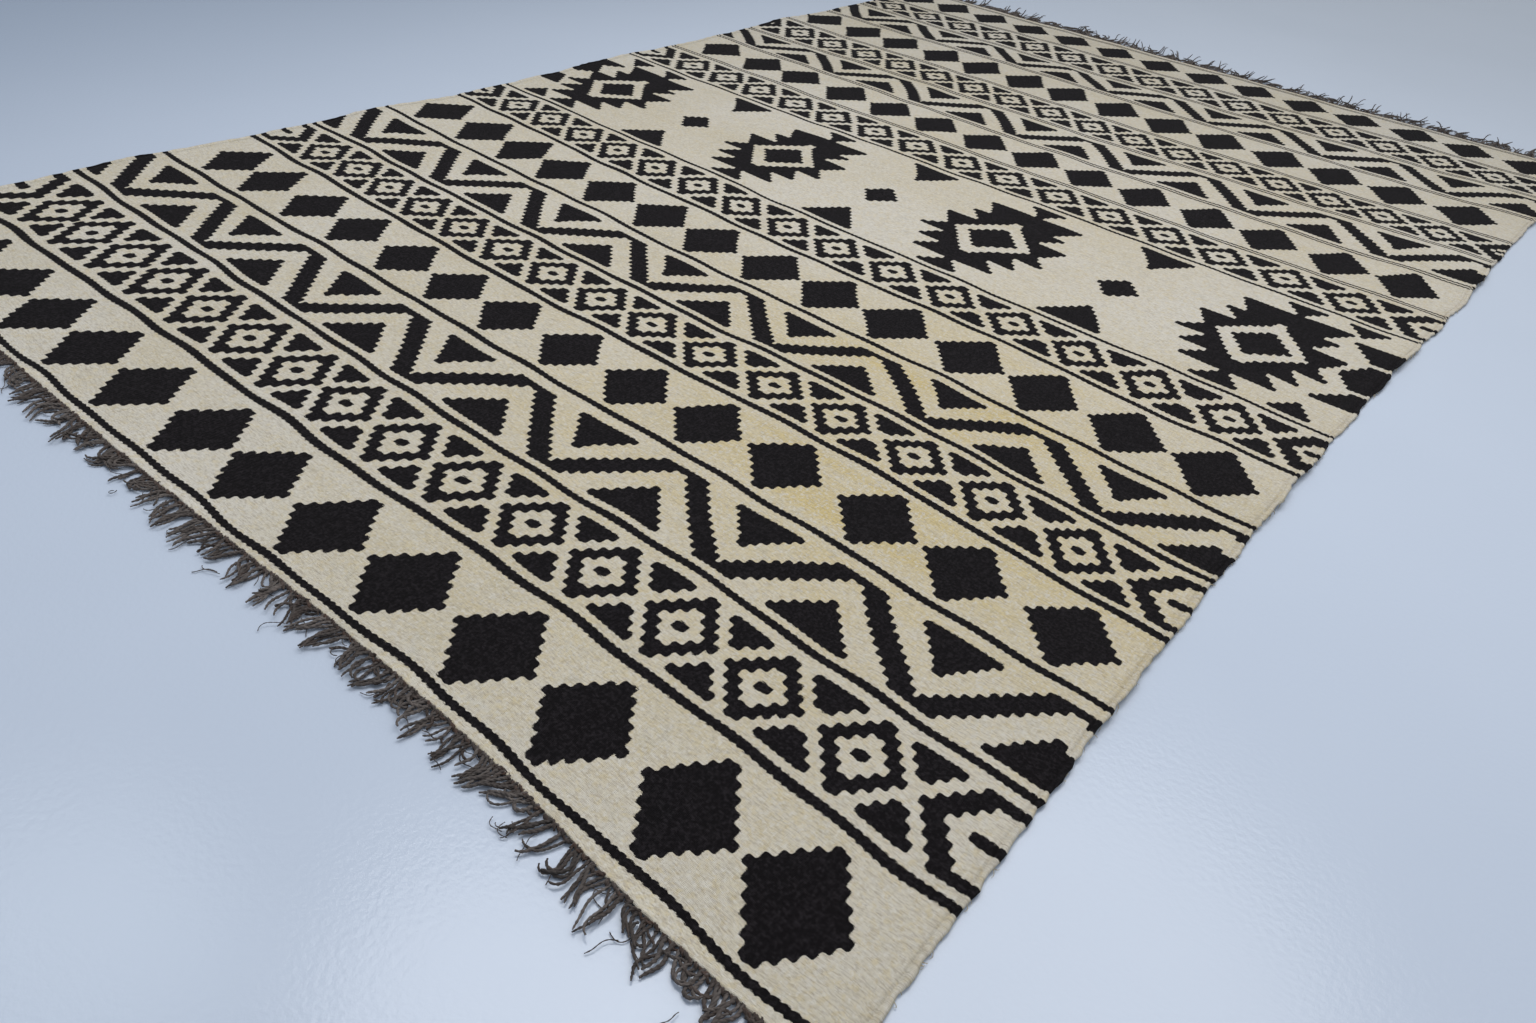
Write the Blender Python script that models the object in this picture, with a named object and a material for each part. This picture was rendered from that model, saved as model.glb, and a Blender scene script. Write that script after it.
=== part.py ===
"""A flatwoven wool rug lying on a floor: its cloth, and a fringe of warp ends at each end.

Metres, +Z up. X runs across the rug, the way the weft goes, and Y along it, the way the warp goes.
The near end is at -Y. The origin is on the floor, under the middle of the rug.
"""

import math
import random
from typing import NamedTuple

import bmesh
import bpy

# The cloth
CLOTH_THICK = 0.0045
CLOTH_HALF_LENGTH = 1.536
CLOTH_COLUMNS = 20
CLOTH_ROWS = 64
SCALLOP_DEPTH = 0.0022
SCALLOP_COUNT = 19.5
RIGHT_SCALLOP_PHASE = 2.1

# The fringe
STRIP_DEPTH = 0.006
STRIP_GAP = 0.0003
STRAND_ROOT = 0.0046
STRANDS_IN_LOCK = 5
TIP_SPACING = 0.0068
TIP_LIMIT = 1.600
EVENNESS = 0.82
SWAY_PER_STRAND = 0.37
FRINGE_SEED = 11


class SelvedgeRow(NamedTuple):
    """Where the two long edges run at one place along the rug."""

    y: float
    left: float
    right: float


class EndRow(NamedTuple):
    """Where the two woven ends run at one place across the rug."""

    x: float
    near: float
    far: float


class Ripple(NamedTuple):
    """A soft lift of the cloth off the floor, an oval in plan."""

    x: float
    y: float
    half_x: float
    half_y: float
    height: float


class Section(NamedTuple):
    """A cross-section of a strand, at a share of its reach."""

    reach: float
    half_width: float
    height: float


class Tip(NamedTuple):
    """Where a strand ends, and how far its lock reaches from the strip."""

    x: float
    reach: float
    lock_reach: float
    rise: float


class Fringe(NamedTuple):
    """One end's fringe. The side is -1 at the near end and 1 at the far end."""

    name: str
    side: int
    strands: int
    shortest: float
    longest: float
    sway: float
    tip_rise: float


SELVEDGES = (
    SelvedgeRow(y=-1.54, left=-1.015, right=1.006),
    SelvedgeRow(y=-1.20, left=-0.996, right=0.993),
    SelvedgeRow(y=-0.80, left=-0.990, right=0.982),
    SelvedgeRow(y=-0.40, left=-0.975, right=0.978),
    SelvedgeRow(y=0.00, left=-0.983, right=0.982),
    SelvedgeRow(y=0.40, left=-0.989, right=0.995),
    SelvedgeRow(y=0.80, left=-0.997, right=0.993),
    SelvedgeRow(y=1.20, left=-1.001, right=1.005),
    SelvedgeRow(y=1.56, left=-1.006, right=1.015),
)

ENDS = (
    EndRow(x=-1.015, near=-1.544, far=1.526),
    EndRow(x=-0.60, near=-1.543, far=1.530),
    EndRow(x=-0.21, near=-1.539, far=1.533),
    EndRow(x=0.07, near=-1.532, far=1.534),
    EndRow(x=0.36, near=-1.521, far=1.535),
    EndRow(x=0.60, near=-1.523, far=1.539),
    EndRow(x=0.80, near=-1.537, far=1.546),
    EndRow(x=1.015, near=-1.539, far=1.556),
)

RIPPLES = (
    Ripple(x=1.00, y=-1.02, half_x=0.26, half_y=0.17, height=0.0050),
    Ripple(x=0.98, y=-0.46, half_x=0.30, half_y=0.20, height=0.0065),
    Ripple(x=0.99, y=0.06, half_x=0.24, half_y=0.16, height=0.0070),
    Ripple(x=1.00, y=0.56, half_x=0.32, half_y=0.18, height=0.0055),
    Ripple(x=1.01, y=1.12, half_x=0.28, half_y=0.20, height=0.0060),
    Ripple(x=-1.00, y=-1.12, half_x=0.26, half_y=0.20, height=0.0055),
    Ripple(x=-0.99, y=-0.58, half_x=0.24, half_y=0.16, height=0.0060),
    Ripple(x=-0.98, y=0.10, half_x=0.30, half_y=0.22, height=0.0050),
    Ripple(x=-1.00, y=0.78, half_x=0.28, half_y=0.18, height=0.0065),
    Ripple(x=0.34, y=-0.86, half_x=0.46, half_y=0.15, height=0.0030),
    Ripple(x=-0.42, y=-0.30, half_x=0.50, half_y=0.16, height=0.0034),
    Ripple(x=0.40, y=0.52, half_x=0.44, half_y=0.17, height=0.0032),
    Ripple(x=-0.30, y=1.06, half_x=0.52, half_y=0.16, height=0.0036),
)

STRAND = (
    Section(reach=0.34, half_width=0.0022, height=0.0040),
    Section(reach=0.70, half_width=0.0021, height=0.0036),
    Section(reach=1.00, half_width=0.0016, height=0.0030),
)

FRINGES = (
    Fringe(
        name="fringe_near", side=-1, strands=140, shortest=0.038, longest=0.058, sway=0.011, tip_rise=0.0
    ),
    Fringe(
        name="fringe_far", side=1, strands=130, shortest=0.030, longest=0.052, sway=0.008, tip_rise=0.009
    ),
)


def clear_scene():
    for obj in list(bpy.data.objects):
        bpy.data.objects.remove(obj, do_unlink=True)


def wool(name, colour, roughness):
    material = bpy.data.materials.new(name)
    material.use_nodes = True
    shader = material.node_tree.nodes["Principled BSDF"]
    shader.inputs["Base Color"].default_value = (*colour, 1.0)
    shader.inputs["Roughness"].default_value = roughness
    shader.inputs["Metallic"].default_value = 0.0
    return material


def smooth_value(rows, place, column, at):
    """A cubic through one column of a table, at a place between its first row and its last."""
    places = [getattr(row, place) for row in rows]
    values = [getattr(row, column) for row in rows]
    last = len(rows) - 1
    at = min(max(at, places[0]), places[last])
    i = max(k for k in range(last) if places[k] <= at)
    step = places[i + 1] - places[i]
    share = (at - places[i]) / step

    def slope(k):
        low, high = max(k - 1, 0), min(k + 1, last)
        return (values[high] - values[low]) / (places[high] - places[low]) * step

    square, cube = share * share, share**3
    return (
        (2 * cube - 3 * square + 1) * values[i]
        + (cube - 2 * square + share) * slope(i)
        + (3 * square - 2 * cube) * values[i + 1]
        + (cube - square) * slope(i + 1)
    )


def scallop(y, phase):
    """How far a selvedge draws in where a band of the pattern pulls the cloth tighter."""
    share = (y + CLOTH_HALF_LENGTH) / (2 * CLOTH_HALF_LENGTH)
    fade = math.sin(math.pi * min(max(share, 0.0), 1.0))
    return SCALLOP_DEPTH * fade * (1 + math.sin(2 * math.pi * SCALLOP_COUNT * share + phase))


def plan_point(across, along):
    """The place on the floor under a share of the rug's width and a share of its length."""
    level_y = (2 * along - 1) * CLOTH_HALF_LENGTH
    left = smooth_value(SELVEDGES, "y", "left", level_y) + scallop(level_y, 0.0)
    right = smooth_value(SELVEDGES, "y", "right", level_y) - scallop(level_y, RIGHT_SCALLOP_PHASE)
    x = left + (right - left) * across
    near = smooth_value(ENDS, "x", "near", x)
    far = smooth_value(ENDS, "x", "far", x)
    return x, near + (far - near) * along


def lift(x, y):
    """How high the underside stands off the floor."""
    highest = 0.0
    for ripple in RIPPLES:
        away = math.hypot((x - ripple.x) / ripple.half_x, (y - ripple.y) / ripple.half_y)
        if away < 1:
            highest = max(highest, ripple.height * math.cos(0.5 * math.pi * away) ** 2)
    return highest


def mesh_object(name, build, material):
    """An object from a function that fills a bmesh, with its faces pointing out."""
    shape = bmesh.new()
    build(shape)
    bmesh.ops.recalc_face_normals(shape, faces=shape.faces)
    mesh = bpy.data.meshes.new(name)
    shape.to_mesh(mesh)
    shape.free()
    mesh.materials.append(material)
    obj = bpy.data.objects.new(name, mesh)
    bpy.context.scene.collection.objects.link(obj)
    return obj


def cloth_underside(shape):
    """The cloth's lower face, as a grid that lies on the floor and lifts at the ripples."""
    grid = []
    for row in range(CLOTH_ROWS + 1):
        line = []
        for column in range(CLOTH_COLUMNS + 1):
            x, y = plan_point(column / CLOTH_COLUMNS, row / CLOTH_ROWS)
            line.append(shape.verts.new((x, y, lift(x, y))))
        grid.append(line)
    for low, high in zip(grid, grid[1:]):
        for k in range(CLOTH_COLUMNS):
            shape.faces.new((low[k], low[k + 1], high[k + 1], high[k]))


def make_cloth(material):
    cloth = mesh_object("cloth", cloth_underside, material)
    if cloth.data.polygons[0].normal.z < 0:
        cloth.data.flip_normals()
    weave = cloth.modifiers.new("weave", "SOLIDIFY")
    weave.thickness = CLOTH_THICK
    weave.offset = 1.0
    return cloth


def end_edge(side, x):
    """Where the cloth's woven end is, at a place across the rug that its corners limit."""
    return smooth_value(ENDS, "x", "far" if side > 0 else "near", x)


def strand_roots(fringe, left, right):
    """The middle of each strand's root along the strip."""
    pitch = (right - left) / fringe.strands
    return [left + pitch * (k + 0.5) for k in range(fringe.strands)]


def strand_tips(fringe, roots, chance):
    """The strands of a lock lean together without crossing, and the locks sway."""
    tips = []
    while len(tips) < len(roots):
        start = len(tips)
        count = min(chance.randint(STRANDS_IN_LOCK - 2, STRANDS_IN_LOCK + 2), len(roots) - start)
        lock = roots[start : start + count]
        middle = sum(lock) / count + fringe.sway * math.sin(start * SWAY_PER_STRAND)
        lock_reach = chance.uniform(fringe.shortest, fringe.longest)
        rise = fringe.tip_rise * max(0.0, chance.uniform(-1.0, 1.0))
        for k in range(count):
            tip_x = middle + (k - (count - 1) / 2) * TIP_SPACING
            woven_end = abs(end_edge(fringe.side, tip_x)) + STRIP_GAP + STRIP_DEPTH
            reach = min(lock_reach * chance.uniform(EVENNESS, 1.0), TIP_LIMIT - woven_end)
            tips.append(Tip(tip_x, reach, lock_reach, rise))
    return tips


def fill_between(shape, many, few):
    """Triangles between two chains of points that run the same way, the first with more points."""
    k = 0
    for low, high in zip(many, many[1:]):
        while k + 1 < len(few) and few[k].co.x + few[k + 1].co.x <= low.co.x + high.co.x:
            shape.faces.new((low, few[k], few[k + 1]))
            k += 1
        shape.faces.new((low, high, few[k]))
    for near, far in zip(few[k:], few[k + 1 :]):
        shape.faces.new((many[-1], near, far))


def add_strand(shape, root, side, root_x, tip):
    """Extrudes a strand from its root on the strip's outer wall, whose corners go round once."""
    root_y = root[0].co.y
    last = root
    for section in STRAND:
        away = tip.reach * section.reach
        lean = math.sin(0.5 * math.pi * away / tip.lock_reach) ** 2
        x = root_x + (tip.x - root_x) * lean
        y = root_y + side * away
        low = tip.rise * section.reach**2
        corners = ((-1, 0), (1, 0), (1, 1), (-1, 1))
        ring = [
            shape.verts.new((x + a * section.half_width, y, low + b * section.height))
            for a, b in corners
        ]
        for k in range(4):
            shape.faces.new((last[k], last[(k + 1) % 4], ring[(k + 1) % 4], ring[k]))
        last = ring
    shape.faces.new(last)


def make_fringe(fringe, material):
    along = 0.0 if fringe.side < 0 else 1.0
    inner = [plan_point(k / CLOTH_COLUMNS, along) for k in range(CLOTH_COLUMNS + 1)]
    inner = [(x, y + fringe.side * STRIP_GAP) for x, y in inner]
    left, right = inner[0][0], inner[-1][0]
    roots = strand_roots(fringe, left, right)
    tips = strand_tips(fringe, roots, random.Random(FRINGE_SEED + fringe.side))

    def build(shape):
        edges = [left]
        for x in roots:
            edges += [x - STRAND_ROOT / 2, x + STRAND_ROOT / 2]
        edges.append(right)
        outer = [(x, end_edge(fringe.side, x) + fringe.side * (STRIP_GAP + STRIP_DEPTH)) for x in edges]
        outer_low = [shape.verts.new((x, y, 0.0)) for x, y in outer]
        outer_high = [shape.verts.new((x, y, CLOTH_THICK)) for x, y in outer]
        inner_low = [shape.verts.new((x, y, 0.0)) for x, y in inner]
        inner_high = [shape.verts.new((x, y, CLOTH_THICK)) for x, y in inner]
        fill_between(shape, outer_low, inner_low)
        fill_between(shape, outer_high, inner_high)
        for k in range(len(inner) - 1):
            shape.faces.new((inner_low[k], inner_low[k + 1], inner_high[k + 1], inner_high[k]))
        for k in (0, -1):
            shape.faces.new((inner_low[k], outer_low[k], outer_high[k], inner_high[k]))
        for k in range(len(outer) - 1):
            wall = (outer_low[k], outer_low[k + 1], outer_high[k + 1], outer_high[k])
            if k % 2 == 0:
                shape.faces.new(wall)
            else:
                strand = k // 2
                add_strand(shape, wall, fringe.side, roots[strand], tips[strand])

    return mesh_object(fringe.name, build, material)


def main():
    clear_scene()
    make_cloth(wool("undyed_wool", colour=(0.62, 0.56, 0.42), roughness=0.92))
    warp = wool("goat_hair_warp", colour=(0.075, 0.06, 0.05), roughness=0.95)
    for fringe in FRINGES:
        make_fringe(fringe, warp)


main()
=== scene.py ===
"""A flatwoven wool rug on a pale painted floor: its cloth, its knotted ends and its two fringes.

Metres, +Z up. X runs across the rug, the way the weft goes, and Y along it, the way the warp goes.
The pattern is a weaver's chart: one column is a pair of warps and one row is one step of a motif.
"""

import logging
import math
import random
from abc import ABC, abstractmethod
from dataclasses import dataclass, field
from enum import Enum
from typing import Any, NamedTuple, Sequence

import bpy
import numpy as np
from mathutils import Matrix, Vector


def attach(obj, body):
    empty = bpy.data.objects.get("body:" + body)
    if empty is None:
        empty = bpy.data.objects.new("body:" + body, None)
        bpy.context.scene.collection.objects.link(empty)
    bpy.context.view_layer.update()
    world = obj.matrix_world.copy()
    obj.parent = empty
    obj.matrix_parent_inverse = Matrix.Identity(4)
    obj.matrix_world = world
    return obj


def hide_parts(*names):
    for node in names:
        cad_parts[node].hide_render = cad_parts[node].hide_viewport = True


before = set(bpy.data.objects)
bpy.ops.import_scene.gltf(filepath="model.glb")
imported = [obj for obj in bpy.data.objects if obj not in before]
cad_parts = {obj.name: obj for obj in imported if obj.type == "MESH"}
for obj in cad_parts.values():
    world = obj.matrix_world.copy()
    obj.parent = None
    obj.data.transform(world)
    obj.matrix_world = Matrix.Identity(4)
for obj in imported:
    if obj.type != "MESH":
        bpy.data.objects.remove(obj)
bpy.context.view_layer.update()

LOG = logging.getLogger("rug")
BODY = "root"
WOOL_SLOT = "woven_wool"
YARN_SLOT = "warp_yarn"

Colour = tuple[float, float, float]
Place = tuple[float, float, float]
Socket = bpy.types.NodeSocket


class SelvedgeRow(NamedTuple):
    """Where the two long edges run at one place along the rug."""

    y: float
    left: float
    right: float


class EndRow(NamedTuple):
    """Where the two woven ends run at one place across the rug."""

    x: float
    near: float
    far: float


class Ripple(NamedTuple):
    """A soft lift of the cloth off the floor, an oval in plan."""

    x: float
    y: float
    half_x: float
    half_y: float
    height: float


SELVEDGES = (
    SelvedgeRow(-1.54, -1.015, 1.006),
    SelvedgeRow(-1.20, -0.996, 0.993),
    SelvedgeRow(-0.80, -0.990, 0.982),
    SelvedgeRow(-0.40, -0.975, 0.978),
    SelvedgeRow(0.00, -0.983, 0.982),
    SelvedgeRow(0.40, -0.989, 0.995),
    SelvedgeRow(0.80, -0.997, 0.993),
    SelvedgeRow(1.20, -1.001, 1.005),
    SelvedgeRow(1.56, -1.006, 1.015),
)

ENDS = (
    EndRow(-1.015, -1.544, 1.526),
    EndRow(-0.60, -1.543, 1.530),
    EndRow(-0.21, -1.539, 1.533),
    EndRow(0.07, -1.532, 1.534),
    EndRow(0.36, -1.521, 1.535),
    EndRow(0.60, -1.523, 1.539),
    EndRow(0.80, -1.537, 1.546),
    EndRow(1.015, -1.539, 1.556),
)

RIPPLES = (
    Ripple(1.00, -1.02, 0.26, 0.17, 0.0050),
    Ripple(0.98, -0.46, 0.30, 0.20, 0.0065),
    Ripple(0.99, 0.06, 0.24, 0.16, 0.0070),
    Ripple(1.00, 0.56, 0.32, 0.18, 0.0055),
    Ripple(1.01, 1.12, 0.28, 0.20, 0.0060),
    Ripple(-1.00, -1.12, 0.26, 0.20, 0.0055),
    Ripple(-0.99, -0.58, 0.24, 0.16, 0.0060),
    Ripple(-0.98, 0.10, 0.30, 0.22, 0.0050),
    Ripple(-1.00, 0.78, 0.28, 0.18, 0.0065),
    Ripple(0.34, -0.86, 0.46, 0.15, 0.0030),
    Ripple(-0.42, -0.30, 0.50, 0.16, 0.0034),
    Ripple(0.40, 0.52, 0.44, 0.17, 0.0032),
    Ripple(-0.30, 1.06, 0.52, 0.16, 0.0036),
)


class End(Enum):
    """The rug's two woven ends, by the way that each one faces along Y."""

    NEAR = -1
    FAR = 1


def smooth_values(places: Sequence[float], values: Sequence[float], at: np.ndarray) -> np.ndarray:
    """A cubic through a table's values.

    Args:
        places: where the table gives a value, in rising order.
        values: the value at each place.
        at: where the values are wanted. Past the table's ends it holds still.

    Returns:
        The values at those places.
    """
    knots, heights = np.asarray(places), np.asarray(values)
    last = len(knots) - 1
    held = np.clip(at, knots[0], knots[last])
    low = np.maximum(np.arange(last + 1) - 1, 0)
    high = np.minimum(np.arange(last + 1) + 1, last)
    slopes = (heights[high] - heights[low]) / (knots[high] - knots[low])
    i = np.clip(np.searchsorted(knots, held, side="right") - 1, 0, last - 1)
    step = knots[i + 1] - knots[i]
    share = (held - knots[i]) / step
    square, cube = share**2, share**3
    return (
        (2 * cube - 3 * square + 1) * heights[i]
        + (cube - 2 * square + share) * slopes[i] * step
        + (3 * square - 2 * cube) * heights[i + 1]
        + (cube - square) * slopes[i + 1] * step
    )


def wander(at: np.ndarray, chance: random.Random, shortest: float, longest: float) -> np.ndarray:
    """A smooth line that wanders between about -1 and 1, as a hand-beaten row does.

    Args:
        at: the places along the line, in metres.
        chance: the source of the line's turns.
        shortest: its shortest wave, in metres.
        longest: its longest wave, in metres.

    Returns:
        The line's height at each place.
    """
    waves = 5
    line = np.zeros_like(at)
    for k in range(waves):
        length = shortest * (longest / shortest) ** (k / (waves - 1))
        line += chance.uniform(0.5, 1.0) * np.sin(2 * math.pi * (at / length + chance.random()))
    return line / (0.5 * waves)


@dataclass(frozen=True)
class Outline:
    """Where the cloth's edges run on the floor, and how far its underside stands off it."""

    half_length: float = 1.536
    scallop_depth: float = 0.0022
    scallop_count: float = 19.5
    right_phase: float = 2.1

    def scallop(self, y: np.ndarray, phase: float) -> np.ndarray:
        """How far a selvedge draws in where a band of the pattern pulls the cloth tighter.

        Args:
            y: the places along the rug.
            phase: where its waves start, in radians.

        Returns:
            The distance at each place.
        """
        share = (y + self.half_length) / (2 * self.half_length)
        fade = np.sin(math.pi * np.clip(share, 0.0, 1.0))
        return self.scallop_depth * fade * (1 + np.sin(2 * math.pi * self.scallop_count * share + phase))

    def left(self, y: np.ndarray) -> np.ndarray:
        """Where the left selvedge is."""
        return smooth_values([r.y for r in SELVEDGES], [r.left for r in SELVEDGES], y) + self.scallop(y, 0.0)

    def right(self, y: np.ndarray) -> np.ndarray:
        """Where the right selvedge is."""
        edge = smooth_values([r.y for r in SELVEDGES], [r.right for r in SELVEDGES], y)
        return edge - self.scallop(y, self.right_phase)

    def end(self, end: End, x: np.ndarray) -> np.ndarray:
        """Where one woven end is."""
        values = [r.near for r in ENDS] if end is End.NEAR else [r.far for r in ENDS]
        return smooth_values([r.x for r in ENDS], values, x)

    def span(self, end: End, gap: float) -> tuple[float, float]:
        """Where a row along one woven end starts and stops, a gap clear of the selvedges."""
        y = np.array(end.value * self.half_length)
        return float(self.left(y)) + gap, float(self.right(y)) - gap

    def lift(self, x: np.ndarray, y: np.ndarray) -> np.ndarray:
        """How high the underside stands off the floor.

        Args:
            x: the places across the rug.
            y: the places along it.

        Returns:
            The height at each place.
        """
        highest = np.zeros(np.broadcast(x, y).shape)
        for ripple in RIPPLES:
            away = np.hypot((x - ripple.x) / ripple.half_x, (y - ripple.y) / ripple.half_y)
            swell = ripple.height * np.cos(0.5 * math.pi * np.minimum(away, 1.0)) ** 2
            highest = np.maximum(highest, swell)
        return highest


# The weaver's chart


FINE = 16


@dataclass(frozen=True)
class Repeat:
    """Where a band's motifs stand, in columns from the left selvedge."""

    count: int
    first: float
    middle: float
    last: float

    def at(self, index: int) -> float:
        """The middle of one motif. The row of motifs goes on past the first and the last.

        Args:
            index: which motif, from 0 at the left.

        Returns:
            Its middle, in columns.
        """
        share = 2 * index / (self.count - 1) - 1
        bow = (self.first + self.last) / 2 - self.middle
        return self.middle + (self.last - self.first) / 2 * share + bow * share**2

    def pitch(self) -> float:
        """The mean distance between two motifs."""
        return (self.last - self.first) / (self.count - 1)


@dataclass
class Weaving:
    """One band while it is woven: its levels, each a line of places that are dark or cream.

    A column has FINE places, so a run may end anywhere in it.
    """

    levels: int
    columns: int
    chance: random.Random
    looseness: float = 0.30
    tremor: float = 0.12
    places: np.ndarray = field(init=False)
    eyes: list[tuple[int, float]] = field(init=False, default_factory=list)

    def __post_init__(self) -> None:
        """Starts all cream."""
        self.places = np.zeros((self.levels, self.columns * FINE), bool)

    def slip(self) -> float:
        """How far a motif or one of its sides stands out of place, in columns."""
        return self.chance.uniform(-self.looseness, self.looseness)

    def run(self, level: int, start: float, stop: float, dark: bool = True) -> None:
        """Weaves one run of a level, where the level exists.

        Args:
            level: the level, from the near end.
            start: where the run starts, in columns.
            stop: where it stops.
            dark: its colour.
        """
        if 0 <= level < self.levels and stop > start:
            first, last = round(start * FINE), round(stop * FINE)
            self.places[level, max(first, 0) : max(last, 0)] = dark

    def around(self, level: int, middle: float, half: float, dark: bool = True) -> None:
        """Weaves a run about its middle, with a tremor at each end.

        Args:
            level: the level.
            middle: the run's middle, in columns.
            half: half its width. Nothing is woven where this isn't above 0.
            dark: its colour.
        """
        start = middle - half + self.chance.uniform(-self.tremor, self.tremor)
        stop = middle + half + self.chance.uniform(-self.tremor, self.tremor)
        if half > 0:
            self.run(level, start, stop, dark)

    def eye(self, level: int, middle: float, half: float) -> None:
        """A small run whose ends lean, as two picks beside each other do."""
        self.run(level, middle - half, middle + half)
        self.eyes.append((level, middle))


@dataclass
class Band(ABC):
    """The rows between two stripes: a cream one at its foot, the motif's levels, a cream one at its head."""

    repeat: Repeat
    levels: int = 11
    foot: float = 1.0
    head: float = 1.0

    @abstractmethod
    def draw(self, weaving: Weaving) -> None:
        """Weaves the motif.

        Args:
            weaving: the band's levels, all cream as yet.
        """

    def shares(self) -> np.ndarray:
        """Where the rows of the band end, as shares of its height."""
        heights = np.cumsum([self.foot] + [1.0] * self.levels + [self.head])
        return heights / heights[-1]


@dataclass
class DiamondBand(Band):
    """A row of dark diamonds on cream."""

    half: float = 6.0
    tip: float = 1.05

    def draw(self, weaving: Weaving) -> None:
        """Weaves each diamond, as wide as its neighbours leave it room for.

        Args:
            weaving: the band's levels.
        """
        centre = (self.levels - 1) / 2
        middles = [self.repeat.at(k) + 2 * weaving.slip() for k in range(-1, self.repeat.count + 1)]
        for before, middle, after in zip(middles, middles[1:], middles[2:]):
            half = self.half * (after - before) / (2 * self.repeat.pitch())
            shift = weaving.slip()
            for level in range(self.levels):
                near = 1 - abs(level - centre) / centre
                weaving.around(level, middle + shift * near, self.tip + (half - self.tip) * near)


@dataclass
class LozengeBand(Band):
    """Hollow lozenges with an eye, half ones at the selvedges and small triangles between them."""

    levels: int = 9
    head: float = 1.05
    outer: float = 5.3
    inner: float = 3.1
    step: float = 1.07
    closed_from: int = 3
    eye_half: float = 0.95
    edge_outer: float = 8.8
    edge_wall: float = 3.1
    edge_dash: float = 2.8
    edge_gap: float = 1.6
    triangle_levels: int = 3
    clearance: float = 1.85
    narrowest: float = 0.8

    def ring(self, weaving: Weaving, middle: float, outer: float, inner: float, closed_from: int) -> None:
        """One hollow lozenge, or the part of it that the selvedge leaves.

        Args:
            weaving: the band's levels.
            middle: the lozenge's middle, in columns.
            outer: half the width of its outer edge at the middle level.
            inner: half the width of its hollow there.
            closed_from: how many levels from the middle the hollow ends.
        """
        centre = (self.levels - 1) // 2
        for level in range(self.levels):
            away = abs(level - centre)
            reach = outer - self.step * away
            weaving.run(level, middle - reach, middle + reach)
            hollow = inner - self.step * away
            if away < closed_from:
                weaving.run(level, middle - hollow, middle + hollow, dark=False)

    def draw(self, weaving: Weaving) -> None:
        """Weaves the rings, their eyes, the half rings at the selvedges and the triangles.

        Args:
            weaving: the band's levels.
        """
        centre = (self.levels - 1) // 2
        middles = [self.repeat.at(k) + weaving.slip() for k in range(self.repeat.count)]
        for middle in middles:
            self.ring(weaving, middle, self.outer, self.inner, self.closed_from)
            weaving.eye(centre, middle + 0.5 * weaving.slip(), self.eye_half)
        tip = self.outer - self.step * centre
        edge_tips = []
        for edge, middle in ((0, middles[0]), (weaving.columns, middles[-1])):
            outer = min(self.edge_outer, abs(middle - edge) - self.outer - self.edge_gap)
            self.ring(weaving, edge, outer, outer - self.edge_wall, self.closed_from + 1)
            dash = min(self.edge_dash, 0.5 * (outer - self.edge_wall))
            weaving.run(centre, edge - dash, edge + dash)
            edge_tips.append(outer - self.step * centre)
        starts = [edge_tips[0]] + [middle + tip for middle in middles]
        stops = [middle - tip for middle in middles] + [weaving.columns - edge_tips[1]]
        for start, stop in zip(starts, stops):
            half = (stop - start) / 2 - self.clearance
            for step in range(self.triangle_levels):
                reach = max(half - self.step * step, self.narrowest) if half > self.narrowest else 0.0
                for level in (step, self.levels - 1 - step):
                    weaving.around(level, (start + stop) / 2, reach)


@dataclass
class ZigzagBand(Band):
    """A bold zigzag, with a triangle in each of its bays."""

    foot: float = 1.1
    head: float = 1.6
    peak_half: float = 4.15
    valley_half: float = 3.3
    under: float = 5.9
    under_taper: float = 1.02
    over: float = 5.2
    over_taper: float = 0.93
    bay_levels: int = 6
    narrowest: float = 0.8

    def limb(self, weaving: Weaving, peak: float, valley: float) -> None:
        """One limb of the zigzag, from a peak down to the valley beside it.

        Args:
            weaving: the band's levels.
            peak: the middle of the peak, in columns.
            valley: the middle of the valley.
        """
        top = self.levels - 1
        way = 1 if valley > peak else -1
        slope = (abs(valley - peak) - self.valley_half) / top
        for down in range(self.levels):
            near = way * slope * down
            ends = sorted((peak + near, peak + (near + way * self.peak_half)))
            if way > 0:
                ends[1] = min(ends[1], valley)
            else:
                ends[0] = max(ends[0], valley)
            weaving.run(top - down, ends[0], ends[1])

    def draw(self, weaving: Weaving) -> None:
        """Weaves the limbs of the zigzag and the triangles in its bays.

        Args:
            weaving: the band's levels.
        """
        peaks = [self.repeat.at(k) + weaving.slip() for k in range(-1, self.repeat.count + 1)]
        for left, right in zip(peaks, peaks[1:]):
            valley = (left + right) / 2 + weaving.slip()
            self.limb(weaving, left, valley)
            self.limb(weaving, right, valley)
            for step in range(self.bay_levels):
                reach = max(self.over - self.over_taper * step, self.narrowest)
                weaving.around(self.levels - 1 - step, valley, reach)
        for peak in peaks:
            for step in range(self.bay_levels):
                reach = max(self.under - self.under_taper * step, self.narrowest)
                weaving.around(step, peak, reach)


class Tooth(NamedTuple):
    """A stretch of a medallion's levels, from its foot up, whose half width grows evenly."""

    first_level: int
    last_level: int
    first_half: float
    last_half: float


MEDALLION = (
    Tooth(0, 2, 4.0, 1.9),
    Tooth(3, 3, 0.9, 0.9),
    Tooth(4, 7, 8.4, 5.3),
    Tooth(8, 11, 10.4, 7.8),
    Tooth(12, 14, 13.4, 10.9),
    Tooth(15, 19, 10.2, 13.2),
    Tooth(20, 23, 6.9, 10.1),
    Tooth(24, 28, 7.1, 10.1),
    Tooth(29, 29, 0.85, 0.85),
    Tooth(30, 32, 1.5, 3.7),
)


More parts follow.
